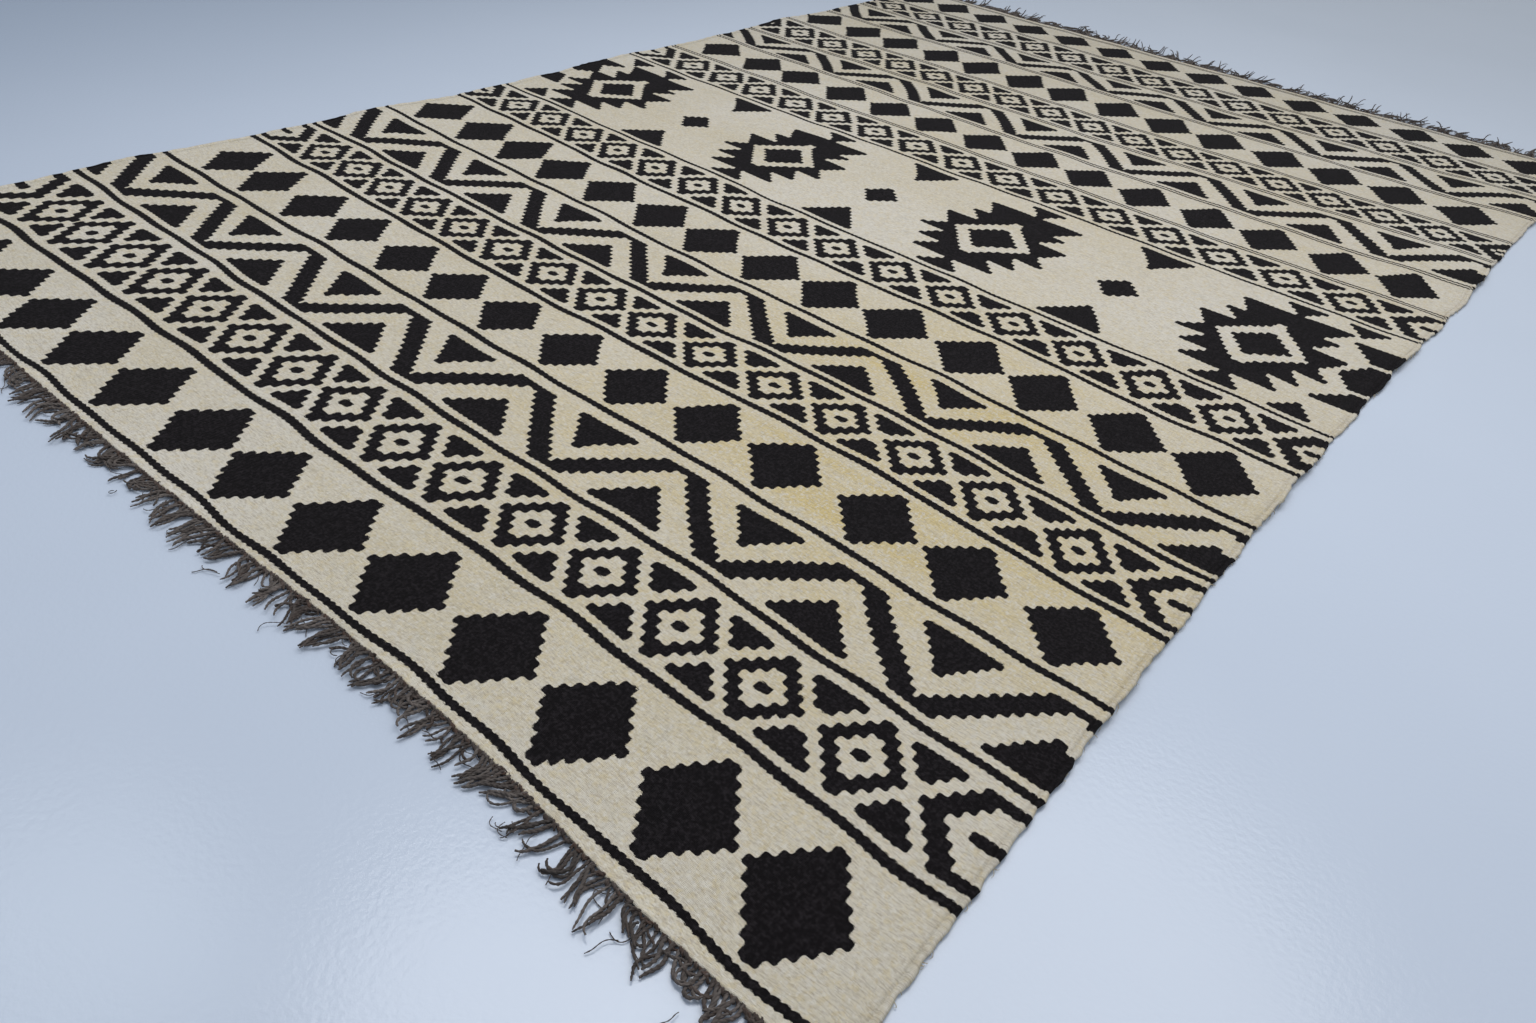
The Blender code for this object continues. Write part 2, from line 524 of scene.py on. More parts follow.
class EdgeForm(NamedTuple):
    """A form at a selvedge: its run's ends, in columns from that edge, at its first and last level."""

    first_level: int
    last_level: int
    first_start: float
    first_stop: float
    last_start: float
    last_stop: float


LEFT_FORMS = (
    EdgeForm(29, 32, 6.6, 7.8, 3.7, 10.5),
    EdgeForm(23, 26, 0.0, 2.6, 0.0, 6.6),
    EdgeForm(20, 22, 0.0, 5.2, 0.0, 3.5),
    EdgeForm(17, 19, 0.0, 2.0, 0.0, 5.2),
    EdgeForm(8, 12, 0.0, 5.6, 0.0, 2.5),
    EdgeForm(0, 3, 4.0, 11.0, 6.8, 8.2),
)

RIGHT_FORMS = (
    EdgeForm(29, 32, 6.9, 8.1, 3.8, 11.0),
    EdgeForm(22, 26, 0.0, 3.3, 0.0, 7.5),
    EdgeForm(17, 20, 0.0, 6.1, 0.0, 3.0),
    EdgeForm(13, 16, 0.0, 3.3, 0.0, 6.1),
    EdgeForm(7, 11, 0.0, 7.0, 0.0, 2.1),
    EdgeForm(0, 3, 3.7, 10.7, 6.5, 7.9),
)


@dataclass
class MedallionField(Band):
    """The open middle of the rug: toothed medallions, with small forms between them."""

    repeat: Repeat = Repeat(4, 17.5, 96.3, 176.6)
    levels: int = 33
    head: float = 1.1
    widths: tuple[float, ...] = (1.0, 1.0, 1.03, 1.0)
    lean: float = 1.4
    middle_level: int = 15
    frame_half: float = 8.2
    frame_step: float = 1.0
    frame_narrowest: float = 0.9
    frame_levels: tuple[int, int] = (8, 23)
    core_half: float = 5.3
    core_levels: int = 4
    step: float = 1.06
    spot_half: float = 4.1
    spot_levels: int = 3
    top_triangle: float = 5.65
    bottom_triangle: float = 6.15
    triangle_taper: float = 0.9
    triangle_narrowest: float = 0.6
    triangle_levels: int = 7

    def row(self, weaving: Weaving, level: int, middle: float, half: float, dark: bool) -> None:
        """One row of a medallion, which leans a little from its foot to its head."""
        lean = self.lean * (level / (self.levels - 1) - 0.5)
        weaving.around(level, middle + lean, half, dark)

    def medallion(self, weaving: Weaving, middle: float, width: float) -> None:
        """One toothed medallion round a cream frame and a dark core.

        Args:
            weaving: the band's levels.
            middle: the medallion's middle, in columns.
            width: its width, as a share of the usual one.
        """
        for tooth in MEDALLION:
            count = tooth.last_level - tooth.first_level
            for step in range(count + 1):
                growth = (tooth.last_half - tooth.first_half) * step / max(count, 1)
                half = (tooth.first_half + growth) * width
                self.row(weaving, tooth.first_level + step, middle, half, dark=True)
        for level in range(self.frame_levels[0], self.frame_levels[1] + 1):
            away = abs(level - self.middle_level)
            half = max(self.frame_half - self.frame_step * away, self.frame_narrowest) * width
            self.row(weaving, level, middle, half, dark=False)
        for away in range(-self.core_levels, self.core_levels + 1):
            half = (self.core_half - self.step * abs(away)) * width
            self.row(weaving, self.middle_level + away, middle, half, dark=True)

    def edge_form(self, weaving: Weaving, form: EdgeForm, mirror: bool) -> None:
        """One form at a selvedge.

        Args:
            weaving: the band's levels.
            form: the form, as it is at the left selvedge.
            mirror: whether it stands at the right one.
        """
        count = form.last_level - form.first_level
        for step in range(count + 1):
            share = step / count
            start = form.first_start + (form.last_start - form.first_start) * share
            stop = form.first_stop + (form.last_stop - form.first_stop) * share
            if mirror:
                start, stop = weaving.columns - stop, weaving.columns - start
            weaving.run(form.first_level + step, start, stop)

    def draw(self, weaving: Weaving) -> None:
        """Weaves the medallions, the spots and triangles between them, and the forms at the edges.

        Args:
            weaving: the band's levels.
        """
        middles = [self.repeat.at(k) + weaving.slip() for k in range(self.repeat.count)]
        for middle, width in zip(middles, self.widths):
            self.medallion(weaving, middle, width)
        for left, right in zip(middles, middles[1:]):
            middle = (left + right) / 2 + weaving.slip()
            for away in range(-self.spot_levels, self.spot_levels + 1):
                weaving.around(self.middle_level + away, middle, self.spot_half - self.step * abs(away))
            for step in range(self.triangle_levels):
                taper = self.triangle_taper * step
                top = max(self.top_triangle - taper, self.triangle_narrowest)
                weaving.around(self.levels - 1 - step, middle, top)
                weaving.around(step, middle, max(self.bottom_triangle - taper, self.triangle_narrowest))
        for mirror, forms in ((False, LEFT_FORMS), (True, RIGHT_FORMS)):
            for form in forms:
                self.edge_form(weaving, form, mirror)


class StripeStyle(Enum):
    """How a dark stripe is woven: the colours of its rows, from the near side."""

    SOLID = (True,)
    DOUBLE = (True, False, True)


class Stripe(NamedTuple):
    """A dark stripe across the rug: its middle line at five stations, and how thick it is."""

    line: tuple[float, float, float, float, float]
    thick: float
    style: StripeStyle = StripeStyle.SOLID


STATIONS = (-0.918, -0.423, 0.072, 0.497, 0.921)

STRIPES = (
    Stripe((-1.532, -1.529, -1.518, -1.506, -1.522), 0.0095),
    Stripe((-1.382, -1.363, -1.353, -1.339, -1.349), 0.0125),
    Stripe((-1.199, -1.199, -1.198, -1.187, -1.195), 0.0113),
    Stripe((-1.041, -1.035, -1.032, -1.025, -1.037), 0.0110),
    Stripe((-0.868, -0.879, -0.879, -0.867, -0.884), 0.0115),
    Stripe((-0.731, -0.739, -0.739, -0.729, -0.744), 0.0110),
    Stripe((-0.567, -0.575, -0.587, -0.584, -0.598), 0.0098),
    Stripe((-0.384, -0.408, -0.417, -0.414, -0.435), 0.0105),
    Stripe((-0.247, -0.264, -0.274, -0.277, -0.278), 0.0080),
    Stripe((0.161, 0.161, 0.165, 0.163, 0.158), 0.0080),
    Stripe((0.323, 0.313, 0.311, 0.308, 0.313), 0.0140, StripeStyle.DOUBLE),
    Stripe((0.500, 0.489, 0.479, 0.480, 0.492), 0.0145, StripeStyle.DOUBLE),
    Stripe((0.640, 0.656, 0.654, 0.667, 0.684), 0.0150, StripeStyle.DOUBLE),
    Stripe((0.812, 0.819, 0.813, 0.819, 0.833), 0.0150, StripeStyle.DOUBLE),
    Stripe((1.007, 1.010, 1.010, 1.012, 1.024), 0.0150, StripeStyle.DOUBLE),
    Stripe((1.179, 1.165, 1.172, 1.187, 1.201), 0.0150, StripeStyle.DOUBLE),
    Stripe((1.321, 1.346, 1.342, 1.356, 1.363), 0.0150, StripeStyle.DOUBLE),
    Stripe((1.508, 1.505, 1.512, 1.516, 1.533), 0.0130, StripeStyle.DOUBLE),
)

BANDS: tuple[Band, ...] = (
    DiamondBand(Repeat(14, 8.5, 95.3, 186.0), foot=0.6, head=1.15),
    LozengeBand(Repeat(15, 14.2, 95.2, 180.5)),
    ZigzagBand(Repeat(7, 24.6, 108.1, 194.7)),
    DiamondBand(Repeat(14, 9.6, 96.6, 187.9)),
    LozengeBand(Repeat(15, 15.0, 94.3, 181.5)),
    ZigzagBand(Repeat(7, 25.4, 108.2, 194.3)),
    DiamondBand(Repeat(14, 8.1, 96.7, 187.9), levels=13, head=1.2, half=6.4),
    LozengeBand(Repeat(15, 12.9, 94.5, 182.7)),
    MedallionField(),
    LozengeBand(Repeat(15, 14.2, 96.3, 181.6)),
    DiamondBand(Repeat(14, 9.2, 99.1, 186.6), levels=13, half=6.1),
    ZigzagBand(Repeat(7, 24.8, 108.3, 194.4)),
    LozengeBand(Repeat(16, 10.7, 97.3, 184.0)),
    DiamondBand(Repeat(14, 6.4, 94.2, 185.3), levels=13, half=6.3),
    ZigzagBand(Repeat(7, 23.2, 105.6, 192.2)),
    LozengeBand(Repeat(15, 7.5, 94.8, 182.2)),
    DiamondBand(Repeat(14, 5.6, 95.6, 186.4), levels=13, half=6.2),
)


NO_SEAM = 9.0


@dataclass
class Cells:
    """What each cell of the chart shows: two colours and the seam between them."""

    left: np.ndarray
    right: np.ndarray
    seam: np.ndarray
    turns: np.ndarray


@dataclass
class Chart:
    """The whole chart: the places of every row, and where the lines between the rows run."""

    outline: Outline
    columns: int = 196
    half_width: float = 0.99
    hem: float = 0.0024
    first_row: float = 0.004
    sway: float = 0.0030
    swell: float = 0.12
    belly: float = 0.0030
    bump: float = 0.0017
    turn: float = 0.30
    eye_turn: float = 0.75
    eye_reach: float = 1.5
    beside: float = 0.45
    seed: int = 23
    places: np.ndarray = field(init=False)
    lines: np.ndarray = field(init=False)
    stripe_rows: list[int] = field(init=False, default_factory=list)
    eyes: list[tuple[int, float]] = field(init=False, default_factory=list)

    def __post_init__(self) -> None:
        """Lays out every row from the near end to the far one."""
        chance = random.Random(self.seed)
        x = np.linspace(-self.half_width, self.half_width, self.columns + 1)
        cream = np.zeros(self.columns * FINE, bool)
        rows, lines = [cream], [self.outline.end(End.NEAR, x) + self.hem]
        edges = [self.stripe_edges(stripe, x, chance) for stripe in STRIPES]
        lines.append(np.maximum(edges[0][0], lines[0] + self.first_row))
        for k, (stripe, (low, high)) in enumerate(zip(STRIPES, edges)):
            colours = stripe.style.value
            for step, colour in enumerate(colours):
                self.stripe_rows.append(len(rows))
                rows.append(np.full_like(cream, colour))
                lines.append(low + (high - low) * (step + 1) / len(colours))
            if k == len(BANDS):
                break
            band = BANDS[k]
            weaving = Weaving(band.levels, self.columns, chance)
            band.draw(weaving)
            self.eyes.extend((len(rows) + 1 + level, place) for level, place in weaving.eyes)
            rows.extend([cream, *weaving.places, cream])
            belly = self.belly * wander(x, chance, shortest=0.25, longest=0.9)
            start, rise = lines[-1], edges[k + 1][0] - lines[-1]
            lines.extend(start + rise * share + belly * math.sin(math.pi * share) for share in band.shares())
        rows.append(cream)
        lines.append(self.outline.end(End.FAR, x) - self.hem)
        self.places = np.array(rows)
        self.lines = np.array(lines)

    def stripe_edges(
        self, stripe: Stripe, x: np.ndarray, chance: random.Random
    ) -> tuple[np.ndarray, np.ndarray]:
        """A stripe's two edges, which wave as the beaten weft does.

        Args:
            stripe: the stripe.
            x: the places across the rug.
            chance: the source of the waves.

        Returns:
            Its near and its far edge.
        """
        middle = smooth_values(STATIONS, stripe.line, x)
        middle = middle + self.sway * wander(x, chance, shortest=0.13, longest=0.55)
        thick = stripe.thick * (1 + self.swell * wander(x, chance, shortest=0.10, longest=0.40))
        return middle - 0.5 * thick, middle + 0.5 * thick

    def cells(self) -> Cells:
        """Reads the seams that each cell shows.

        Returns:
            The cells' colours, seams and turns. A cell without a seam has one far outside it.
        """
        colours = self.places[:, FINE // 2 :: FINE].astype(float)
        left, right = colours.copy(), colours.copy()
        seam = np.full(colours.shape, NO_SEAM)
        nearest = np.full(colours.shape, NO_SEAM)
        turns = np.zeros((*colours.shape, 4))
        for r, row in enumerate(self.places):
            eyes = [middle for at, middle in self.eyes if at == r]
            for place in np.flatnonzero(row[1:] != row[:-1]) + 1:
                x = place / FINE
                way = 1.0 if row[place] else -1.0
                bends = [way * self.turn * self.closing(r + step, place) for step in (1, -1)]
                if any(abs(x - middle) < self.eye_reach for middle in eyes):
                    bends = [self.eye_turn, 0.0] if way > 0 else [0.0, -self.eye_turn]
                first, last = math.ceil(x - 1 - self.turn), math.floor(x + self.turn)
                for c in range(max(first, 0), min(last + 1, self.columns)):
                    away = abs(x - c - 0.5)
                    if away < nearest[r, c]:
                        nearest[r, c] = away
                        seam[r, c] = x - c
                        left[r, c], right[r, c] = (0.0, 1.0) if way > 0 else (1.0, 0.0)
                        turns[r, c, :2] = bends
        turns[:, :, 2], turns[:, :, 3] = self.bumps(colours, nearest)
        return Cells(left, right, seam, turns)

    def closing(self, row: int, place: int) -> float:
        """Which colour closes over a seam in the next row.

        Args:
            row: the next row.
            place: the seam's place in its own row.

        Returns:
            1 where the next row is cream on both sides of it, -1 where it is dark, or else 0.
        """
        if not 0 <= row < len(self.places):
            return 0.0
        reach = round(self.beside * FINE)
        low, high = max(place - reach, 0), min(place + reach, self.columns * FINE) - 1
        sides = bool(self.places[row, low]), bool(self.places[row, high])
        if sides[0] != sides[1]:
            return 0.0
        return -1.0 if sides[0] else 1.0

    def bumps(self, colours: np.ndarray, nearest: np.ndarray) -> tuple[np.ndarray, np.ndarray]:
        """How far the dark wefts bulge over each whole cell's upper and lower edge.

        Args:
            colours: the cells' colours.
            nearest: how far each cell's seam is from its middle.

        Returns:
            Two arrays like the cells, in shares of each cell's height. A plus sign is upwards.
        """
        heights = np.diff(self.lines, axis=0).mean(axis=1)[:, None]
        steps = np.zeros((len(colours) + 1, self.columns))
        steps[1:-1] = self.bump * (colours[:-1] - colours[1:])
        split = nearest < 0.5
        steps[1:-1] *= ~(split[:-1] | split[1:])
        for row in self.stripe_rows:
            if self.places[row].any():
                steps[row : row + 2] = np.abs(steps[row : row + 2])
        return steps[1:] / heights, steps[:-1] / heights


# Node trees


class Graph:
    """A node tree that is being laid out."""

    def __init__(self, tree: bpy.types.NodeTree) -> None:
        """Starts from a tree, which may hold nodes already."""
        self.tree = tree

    def feed(self, socket: Socket, value: Any) -> None:
        """Joins a socket to another one, or sets its value.

        Args:
            socket: the socket to feed.
            value: another socket, or a value of its own.
        """
        if isinstance(value, Socket):
            self.tree.links.new(value, socket)
        else:
            socket.default_value = value

    def node(self, kind: str, inputs: dict[Any, Any] | None = None, **settings: Any) -> bpy.types.Node:
        """Adds a node.

        Args:
            kind: the node's type.
            inputs: what goes into its sockets, by their names or places.
            settings: the node's own settings.

        Returns:
            The new node.
        """
        made = self.tree.nodes.new(kind)
        for name, value in settings.items():
            setattr(made, name, value)
        for key, value in (inputs or {}).items():
            self.feed(made.inputs[key], value)
        return made

    def math(self, operation: str, *values: Any) -> Socket:
        """One step of arithmetic on numbers."""
        return self.node("ShaderNodeMath", dict(enumerate(values)), operation=operation).outputs[0]

    def vector(self, operation: str, *values: Any) -> Socket:
        """One step of arithmetic on vectors."""
        return self.node("ShaderNodeVectorMath", dict(enumerate(values)), operation=operation).outputs[0]

    def scaled(self, vector: Any, factor: Any) -> Socket:
        """A vector times a number."""
        return self.node("ShaderNodeVectorMath", {0: vector, "Scale": factor}, operation="SCALE").outputs[0]

    def parts(self, vector: Any) -> Any:
        """A vector's three numbers."""
        return self.node("ShaderNodeSeparateXYZ", {0: vector}).outputs

    def joined(self, x: Any, y: Any) -> Socket:
        """A level vector from two numbers."""
        return self.node("ShaderNodeCombineXYZ", {0: x, 1: y}).outputs[0]

    def noise(self, vector: Any, scale: float, detail: float, distortion: float = 0.0) -> Socket:
        """A soft noise from 0 to 1."""
        inputs = {"Vector": vector, "Scale": scale, "Detail": detail, "Distortion": distortion}
        return self.node("ShaderNodeTexNoise", inputs).outputs["Fac"]

    def relief(self, shader: bpy.types.Node, strength: float, distance: float, height: Socket) -> None:
        """Feeds a shader's normal from a height."""
        inputs = {"Strength": strength, "Distance": distance, "Height": height}
        self.feed(shader.inputs["Normal"], self.node("ShaderNodeBump", inputs).outputs[0])

    def ranged(self, value: Any, low: float, high: float, start: float = 0.0, stop: float = 1.0) -> Socket:
        """A smooth step from start to stop, as a value goes from low to high."""
        inputs = {0: value, 1: low, 2: high, 3: start, 4: stop}
        return self.node("ShaderNodeMapRange", inputs, interpolation_type="SMOOTHSTEP").outputs[0]

    def blend(self, share: Any, low: Any, high: Any) -> Socket:
        """A colour between two colours.

        Args:
            share: how much of the second colour it has.
            low: the first colour.
            high: the second colour.

        Returns:
            The blended colour.
        """
        made = self.node("ShaderNodeMix", {0: share}, data_type="RGBA")
        for place, value in ((6, low), (7, high)):
            colour = (*value, 1.0) if isinstance(value, tuple) else value
            self.feed(made.inputs[place], colour)
        return made.outputs[2]


@dataclass(frozen=True)
class Finish(ABC):
    """A surface finish, as a material on a Principled shader."""

    name: str
    roughness: float
    gloss: float = 0.5
    sheen: float = 0.0
    sheen_tint: Colour = (1.0, 1.0, 1.0)

    @abstractmethod
    def paint(self, graph: Graph, shader: bpy.types.Node) -> None:
        """Feeds the shader's colour and relief.

        Args:
            graph: the material's nodes.
            shader: its Principled shader.
        """

    def material(self) -> bpy.types.Material:
        """Makes the finish a material.

        Returns:
            The new material.
        """
        material = bpy.data.materials.new(self.name)
        material.use_nodes = True
        shader = material.node_tree.nodes["Principled BSDF"]
        shader.inputs["Roughness"].default_value = self.roughness
        shader.inputs["Specular IOR Level"].default_value = self.gloss
        shader.inputs["Sheen Weight"].default_value = self.sheen
        shader.inputs["Sheen Roughness"].default_value = 0.5
        shader.inputs["Sheen Tint"].default_value = (*self.sheen_tint, 1.0)
        self.paint(Graph(material.node_tree), shader)
        return material


class Wool(Enum):
    """The shades of undyed wool in the cloth."""

    CREAM = (0.636, 0.566, 0.430)
    PALE = (0.710, 0.662, 0.578)
    YELLOW = (0.655, 0.535, 0.300)
    STAINED = (0.660, 0.512, 0.215)
    FLECK = (0.330, 0.262, 0.190)
    SMOKY = (0.500, 0.490, 0.430)
    DARK = (0.0062, 0.0050, 0.0057)
    RUSTY = (0.021, 0.0175, 0.0195)


class Coat(NamedTuple):
    """A shade laid over the cream wool, from nothing to its most as a noise goes from low to high.

    The noise lies on the rug's own metres, or on the weave's columns and wefts.
    """

    shade: Wool
    low: float
    high: float
    most: float
    scale: float = 1.0
    detail: float = 3.0
    distortion: float = 0.0
    stretch: Place = (1.0, 1.0, 1.0)
    shift: Place = (0.0, 0.0, 0.0)
    on_weave: bool = False


PATCHES = Coat(Wool.PALE, 0.36, 0.66, 1.00, 2.2)
SPINNINGS = Coat(Wool.PALE, 0.34, 0.62, 0.45, stretch=(1.2, 26.0, 0.0))
MOTTLE = Coat(Wool.YELLOW, 0.50, 0.72, 0.22, 38.0, distortion=0.5)
SMOKE = Coat(Wool.SMOKY, 0.52, 0.74, 0.28, 46.0, distortion=0.5, shift=(3.1, 1.7, 0.0))
STREAKS = Coat(Wool.FLECK, 0.53, 0.78, 0.50, 1.0, 4.0, 0.7, stretch=(0.42, 0.66, 1.0), on_weave=True)
SLUBS = Coat(Wool.PALE, 0.54, 0.74, 0.36, 1.0, 4.0, 1.0, stretch=(0.26, 0.80, 1.0), on_weave=True)
HAIRS = Coat(Wool.FLECK, 0.68, 0.78, 0.60, 1.5, 1.0, 0.0, stretch=(0.60, 0.50, 1.0), on_weave=True)
TINTS = Coat(Wool.YELLOW, 0.48, 0.68, 0.42, 130.5, 2.0)
FLUFF = Coat(Wool.PALE, 0.48, 0.66, 0.80, 232.0, distortion=0.4)
PITS = Coat(Wool.FLECK, 0.47, 0.66, 0.42, 1.0, 5.0, 0.8, stretch=(1.20, 0.90, 1.0), on_weave=True)


class WeaveGraph(Graph):
    """The nodes of the cloth's material, with the place on the rug and the place in the weave."""

    def __init__(self, tree: bpy.types.NodeTree) -> None:
        """Starts from the material's tree.

        Args:
            tree: the tree.
        """
        super().__init__(tree)
        self.place = self.node("ShaderNodeTexCoord").outputs["Object"]
        self.weave = self.node("ShaderNodeUVMap", uv_map="weave").outputs[0]
        self.column, self.weft, _ = self.parts(self.weave)

    def along_weft(self, stretch: Place, scale: float, detail: float) -> Socket:
        """A noise in the weave, drawn out along the wefts."""
        return self.noise(self.vector("MULTIPLY", self.weave, stretch), scale, detail)

    def coated(self, below: Any, coat: Coat) -> Socket:
        """Lays one coat over a colour.

        Args:
            below: the colour below.
            coat: the coat.

        Returns:
            The colour with the coat on it.
        """
        where = self.weave if coat.on_weave else self.place
        where = self.vector("MULTIPLY_ADD", where, coat.stretch, coat.shift)
        noise = self.noise(where, coat.scale, coat.detail, coat.distortion)
        return self.blend(self.ranged(noise, coat.low, coat.high, 0.0, coat.most), below, coat.shade.value)


@dataclass(frozen=True)
class WovenWool(Finish):
    """Weft-faced wool in two undyed colours, charted cell by cell."""

    warps_per_column: float = 2.0
    relief: float = 0.0009
    relief_strength: float = 0.75
    bead_height: float = 0.55
    fuzz_height: float = 1.5
    lump_height: float = 0.9
    corner: float = 0.30
    fray: float = 0.52
    fray_scale: float = 2.6
    wear_scale: float = 261.0
    least_wear: float = 0.3
    stain: Place = (0.56, -0.84, 0.0)
    stain_scale: Place = (1.20, 1.20, 0.0)
    unevenness: float = 0.16

    def rounding(self, graph: Graph, height: Any) -> Socket:
        """A quarter circle that rises from 0 to 1 over the last part of a row.

        Args:
            graph: the material's nodes.
            height: how far it is to the row's edge, as a share of its height.

        Returns:
            The height of the quarter circle.
        """
        past = graph.math("SUBTRACT", 1.0, graph.math("DIVIDE", height, self.corner))
        past = graph.math("MAXIMUM", past, 0.0)
        square = graph.math("MULTIPLY", past, past)
        return graph.math("SUBTRACT", 1.0, graph.math("SQRT", graph.math("SUBTRACT", 1.0, square)))

    def chart_colour(self, graph: WeaveGraph) -> Socket:
        """Reads the cell's colour beside its seam, or past a bulging edge.

        Args:
            graph: the material's nodes.

        Returns:
            1 where the wool is dark, or else 0.
        """
        across, up, _ = graph.parts(graph.node("ShaderNodeUVMap", uv_map="cell").outputs[0])
        chart = graph.node("ShaderNodeAttribute", attribute_name="chart").outputs["Vector"]
        left, right, seam = graph.parts(chart)
        turns = graph.node("ShaderNodeAttribute", attribute_name="turns").outputs
        top_turn, foot_turn, top_bump = graph.parts(turns["Vector"])
        foot_bump = turns["Alpha"]
        noise = graph.noise(graph.weave, self.fray_scale, detail=5.0)
        fray = graph.math("MULTIPLY_ADD", noise, self.fray, -self.fray / 2)
        across, up = graph.math("ADD", across, fray), graph.math("ADD", up, fray)
        bend = graph.math("MULTIPLY", self.rounding(graph, graph.math("SUBTRACT", 1.0, up)), top_turn)
        bend = graph.math("MULTIPLY_ADD", self.rounding(graph, up), foot_turn, bend)
        beyond = graph.math("GREATER_THAN", across, graph.math("ADD", seam, bend))
        dark = graph.math("MULTIPLY_ADD", beyond, graph.math("SUBTRACT", right, left), left)
        arch = graph.math("ABSOLUTE", graph.math("SINE", graph.math("MULTIPLY", across, math.pi)))
        over = graph.math("GREATER_THAN", up, graph.math("MULTIPLY_ADD", top_bump, arch, 1.0))
        over = graph.math("MULTIPLY", over, graph.math("LESS_THAN", top_bump, 0.0))
        under = graph.math("LESS_THAN", up, graph.math("MULTIPLY", foot_bump, arch))
        under = graph.math("MULTIPLY", under, graph.math("GREATER_THAN", foot_bump, 0.0))
        return graph.math("ABSOLUTE", graph.math("SUBTRACT", dark, graph.math("MAXIMUM", over, under)))

    def crossing(self, graph: WeaveGraph) -> Socket:
        """Tells the places where a weft passes over a warp from each other.

        Args:
            graph: the material's nodes.

        Returns:
            A number of its own for each crossing, from 0 to 1.
        """
        warp = graph.math("FLOOR", graph.math("MULTIPLY", graph.column, self.warps_per_column))
        weft = graph.math("FLOOR", graph.math("MULTIPLY_ADD", warp, 0.5, graph.weft))
        return graph.node("ShaderNodeTexWhiteNoise", {"Vector": graph.joined(warp, weft)}).outputs["Value"]

    def height(self, graph: WeaveGraph) -> Socket:
        """The faint ribs that the wefts make over the warps, each weft in them, and the wool's fuzz.

        Args:
            graph: the material's nodes.

        Returns:
            The relief's height.
        """
        warp = graph.math("MULTIPLY", graph.column, self.warps_per_column)
        rib = graph.math("ABSOLUTE", graph.math("SINE", graph.math("MULTIPLY", warp, math.pi)))
        shed = graph.math("MULTIPLY", graph.math("FLOOR", warp), 0.5)
        weft = graph.math("MULTIPLY", graph.math("ADD", graph.weft, shed), math.pi)
        bead = graph.math("ABSOLUTE", graph.math("SINE", weft))
        beads = graph.math("MULTIPLY", graph.math("MULTIPLY", rib, bead), self.bead_height)
        fuzz = graph.along_weft(stretch=(1.2, 0.55, 1.0), scale=3.1, detail=5.0)
        lumps = graph.along_weft(stretch=(0.5, 0.22, 1.0), scale=1.0, detail=2.0)
        height = graph.math("MULTIPLY_ADD", fuzz, self.fuzz_height, beads)
        return graph.math("MULTIPLY_ADD", lumps, self.lump_height, height)

    def cream_wool(self, graph: WeaveGraph, crossing: Socket) -> Socket:
        """Cream wool: its patches, the large stain, and the coats from the widest to the finest.

        Args:
            graph: the material's nodes.
            crossing: the number of each crossing.

        Returns:
            The colour.
        """
        cream = graph.coated(Wool.CREAM.value, PATCHES)
        spot = graph.vector("MULTIPLY", graph.vector("SUBTRACT", graph.place, self.stain), self.stain_scale)
        away = graph.node("ShaderNodeVectorMath", {0: spot}, operation="LENGTH").outputs["Value"]
        faded = graph.ranged(away, low=0.10, high=0.95, start=1.0, stop=0.0)
        cloud = graph.noise(graph.place, scale=4.0, detail=4.0, distortion=0.6)
        cloud = graph.ranged(cloud, low=0.34, high=0.66, start=0.60, stop=1.0)
        soaked = graph.math("MULTIPLY", faded, cloud)
        cream = graph.blend(soaked, cream, Wool.STAINED.value)
        for coat in (SPINNINGS, MOTTLE, SMOKE, STREAKS, SLUBS, HAIRS, TINTS, FLUFF, PITS):
            cream = graph.coated(cream, coat)
        return graph.blend(graph.math("MULTIPLY", crossing, self.unevenness), cream, Wool.FLECK.value)

    def paint(self, graph: Graph, shader: bpy.types.Node) -> None:
        """Feeds the two wools by the chart, and the relief of the weave.

        Args:
            graph: the material's nodes.
            shader: its Principled shader.
        """
        nodes = WeaveGraph(graph.tree)
        crossing = self.crossing(nodes)
        wear_and_painted_shade = nodes.noise(nodes.place, self.wear_scale, detail=4.0)
        wear_and_painted_shade = nodes.ranged(wear_and_painted_shade, low=0.40, high=0.66)
        share = nodes.math("MULTIPLY_ADD", crossing, 1 - self.least_wear, self.least_wear)
        dark = nodes.blend(nodes.math("MULTIPLY", wear_and_painted_shade, share), Wool.DARK.value, Wool.RUSTY.value)
        colour = nodes.blend(self.chart_colour(nodes), self.cream_wool(nodes, crossing), dark)
        nodes.feed(shader.inputs["Base Color"], colour)
        nodes.relief(shader, self.relief_strength, self.relief, self.height(nodes))


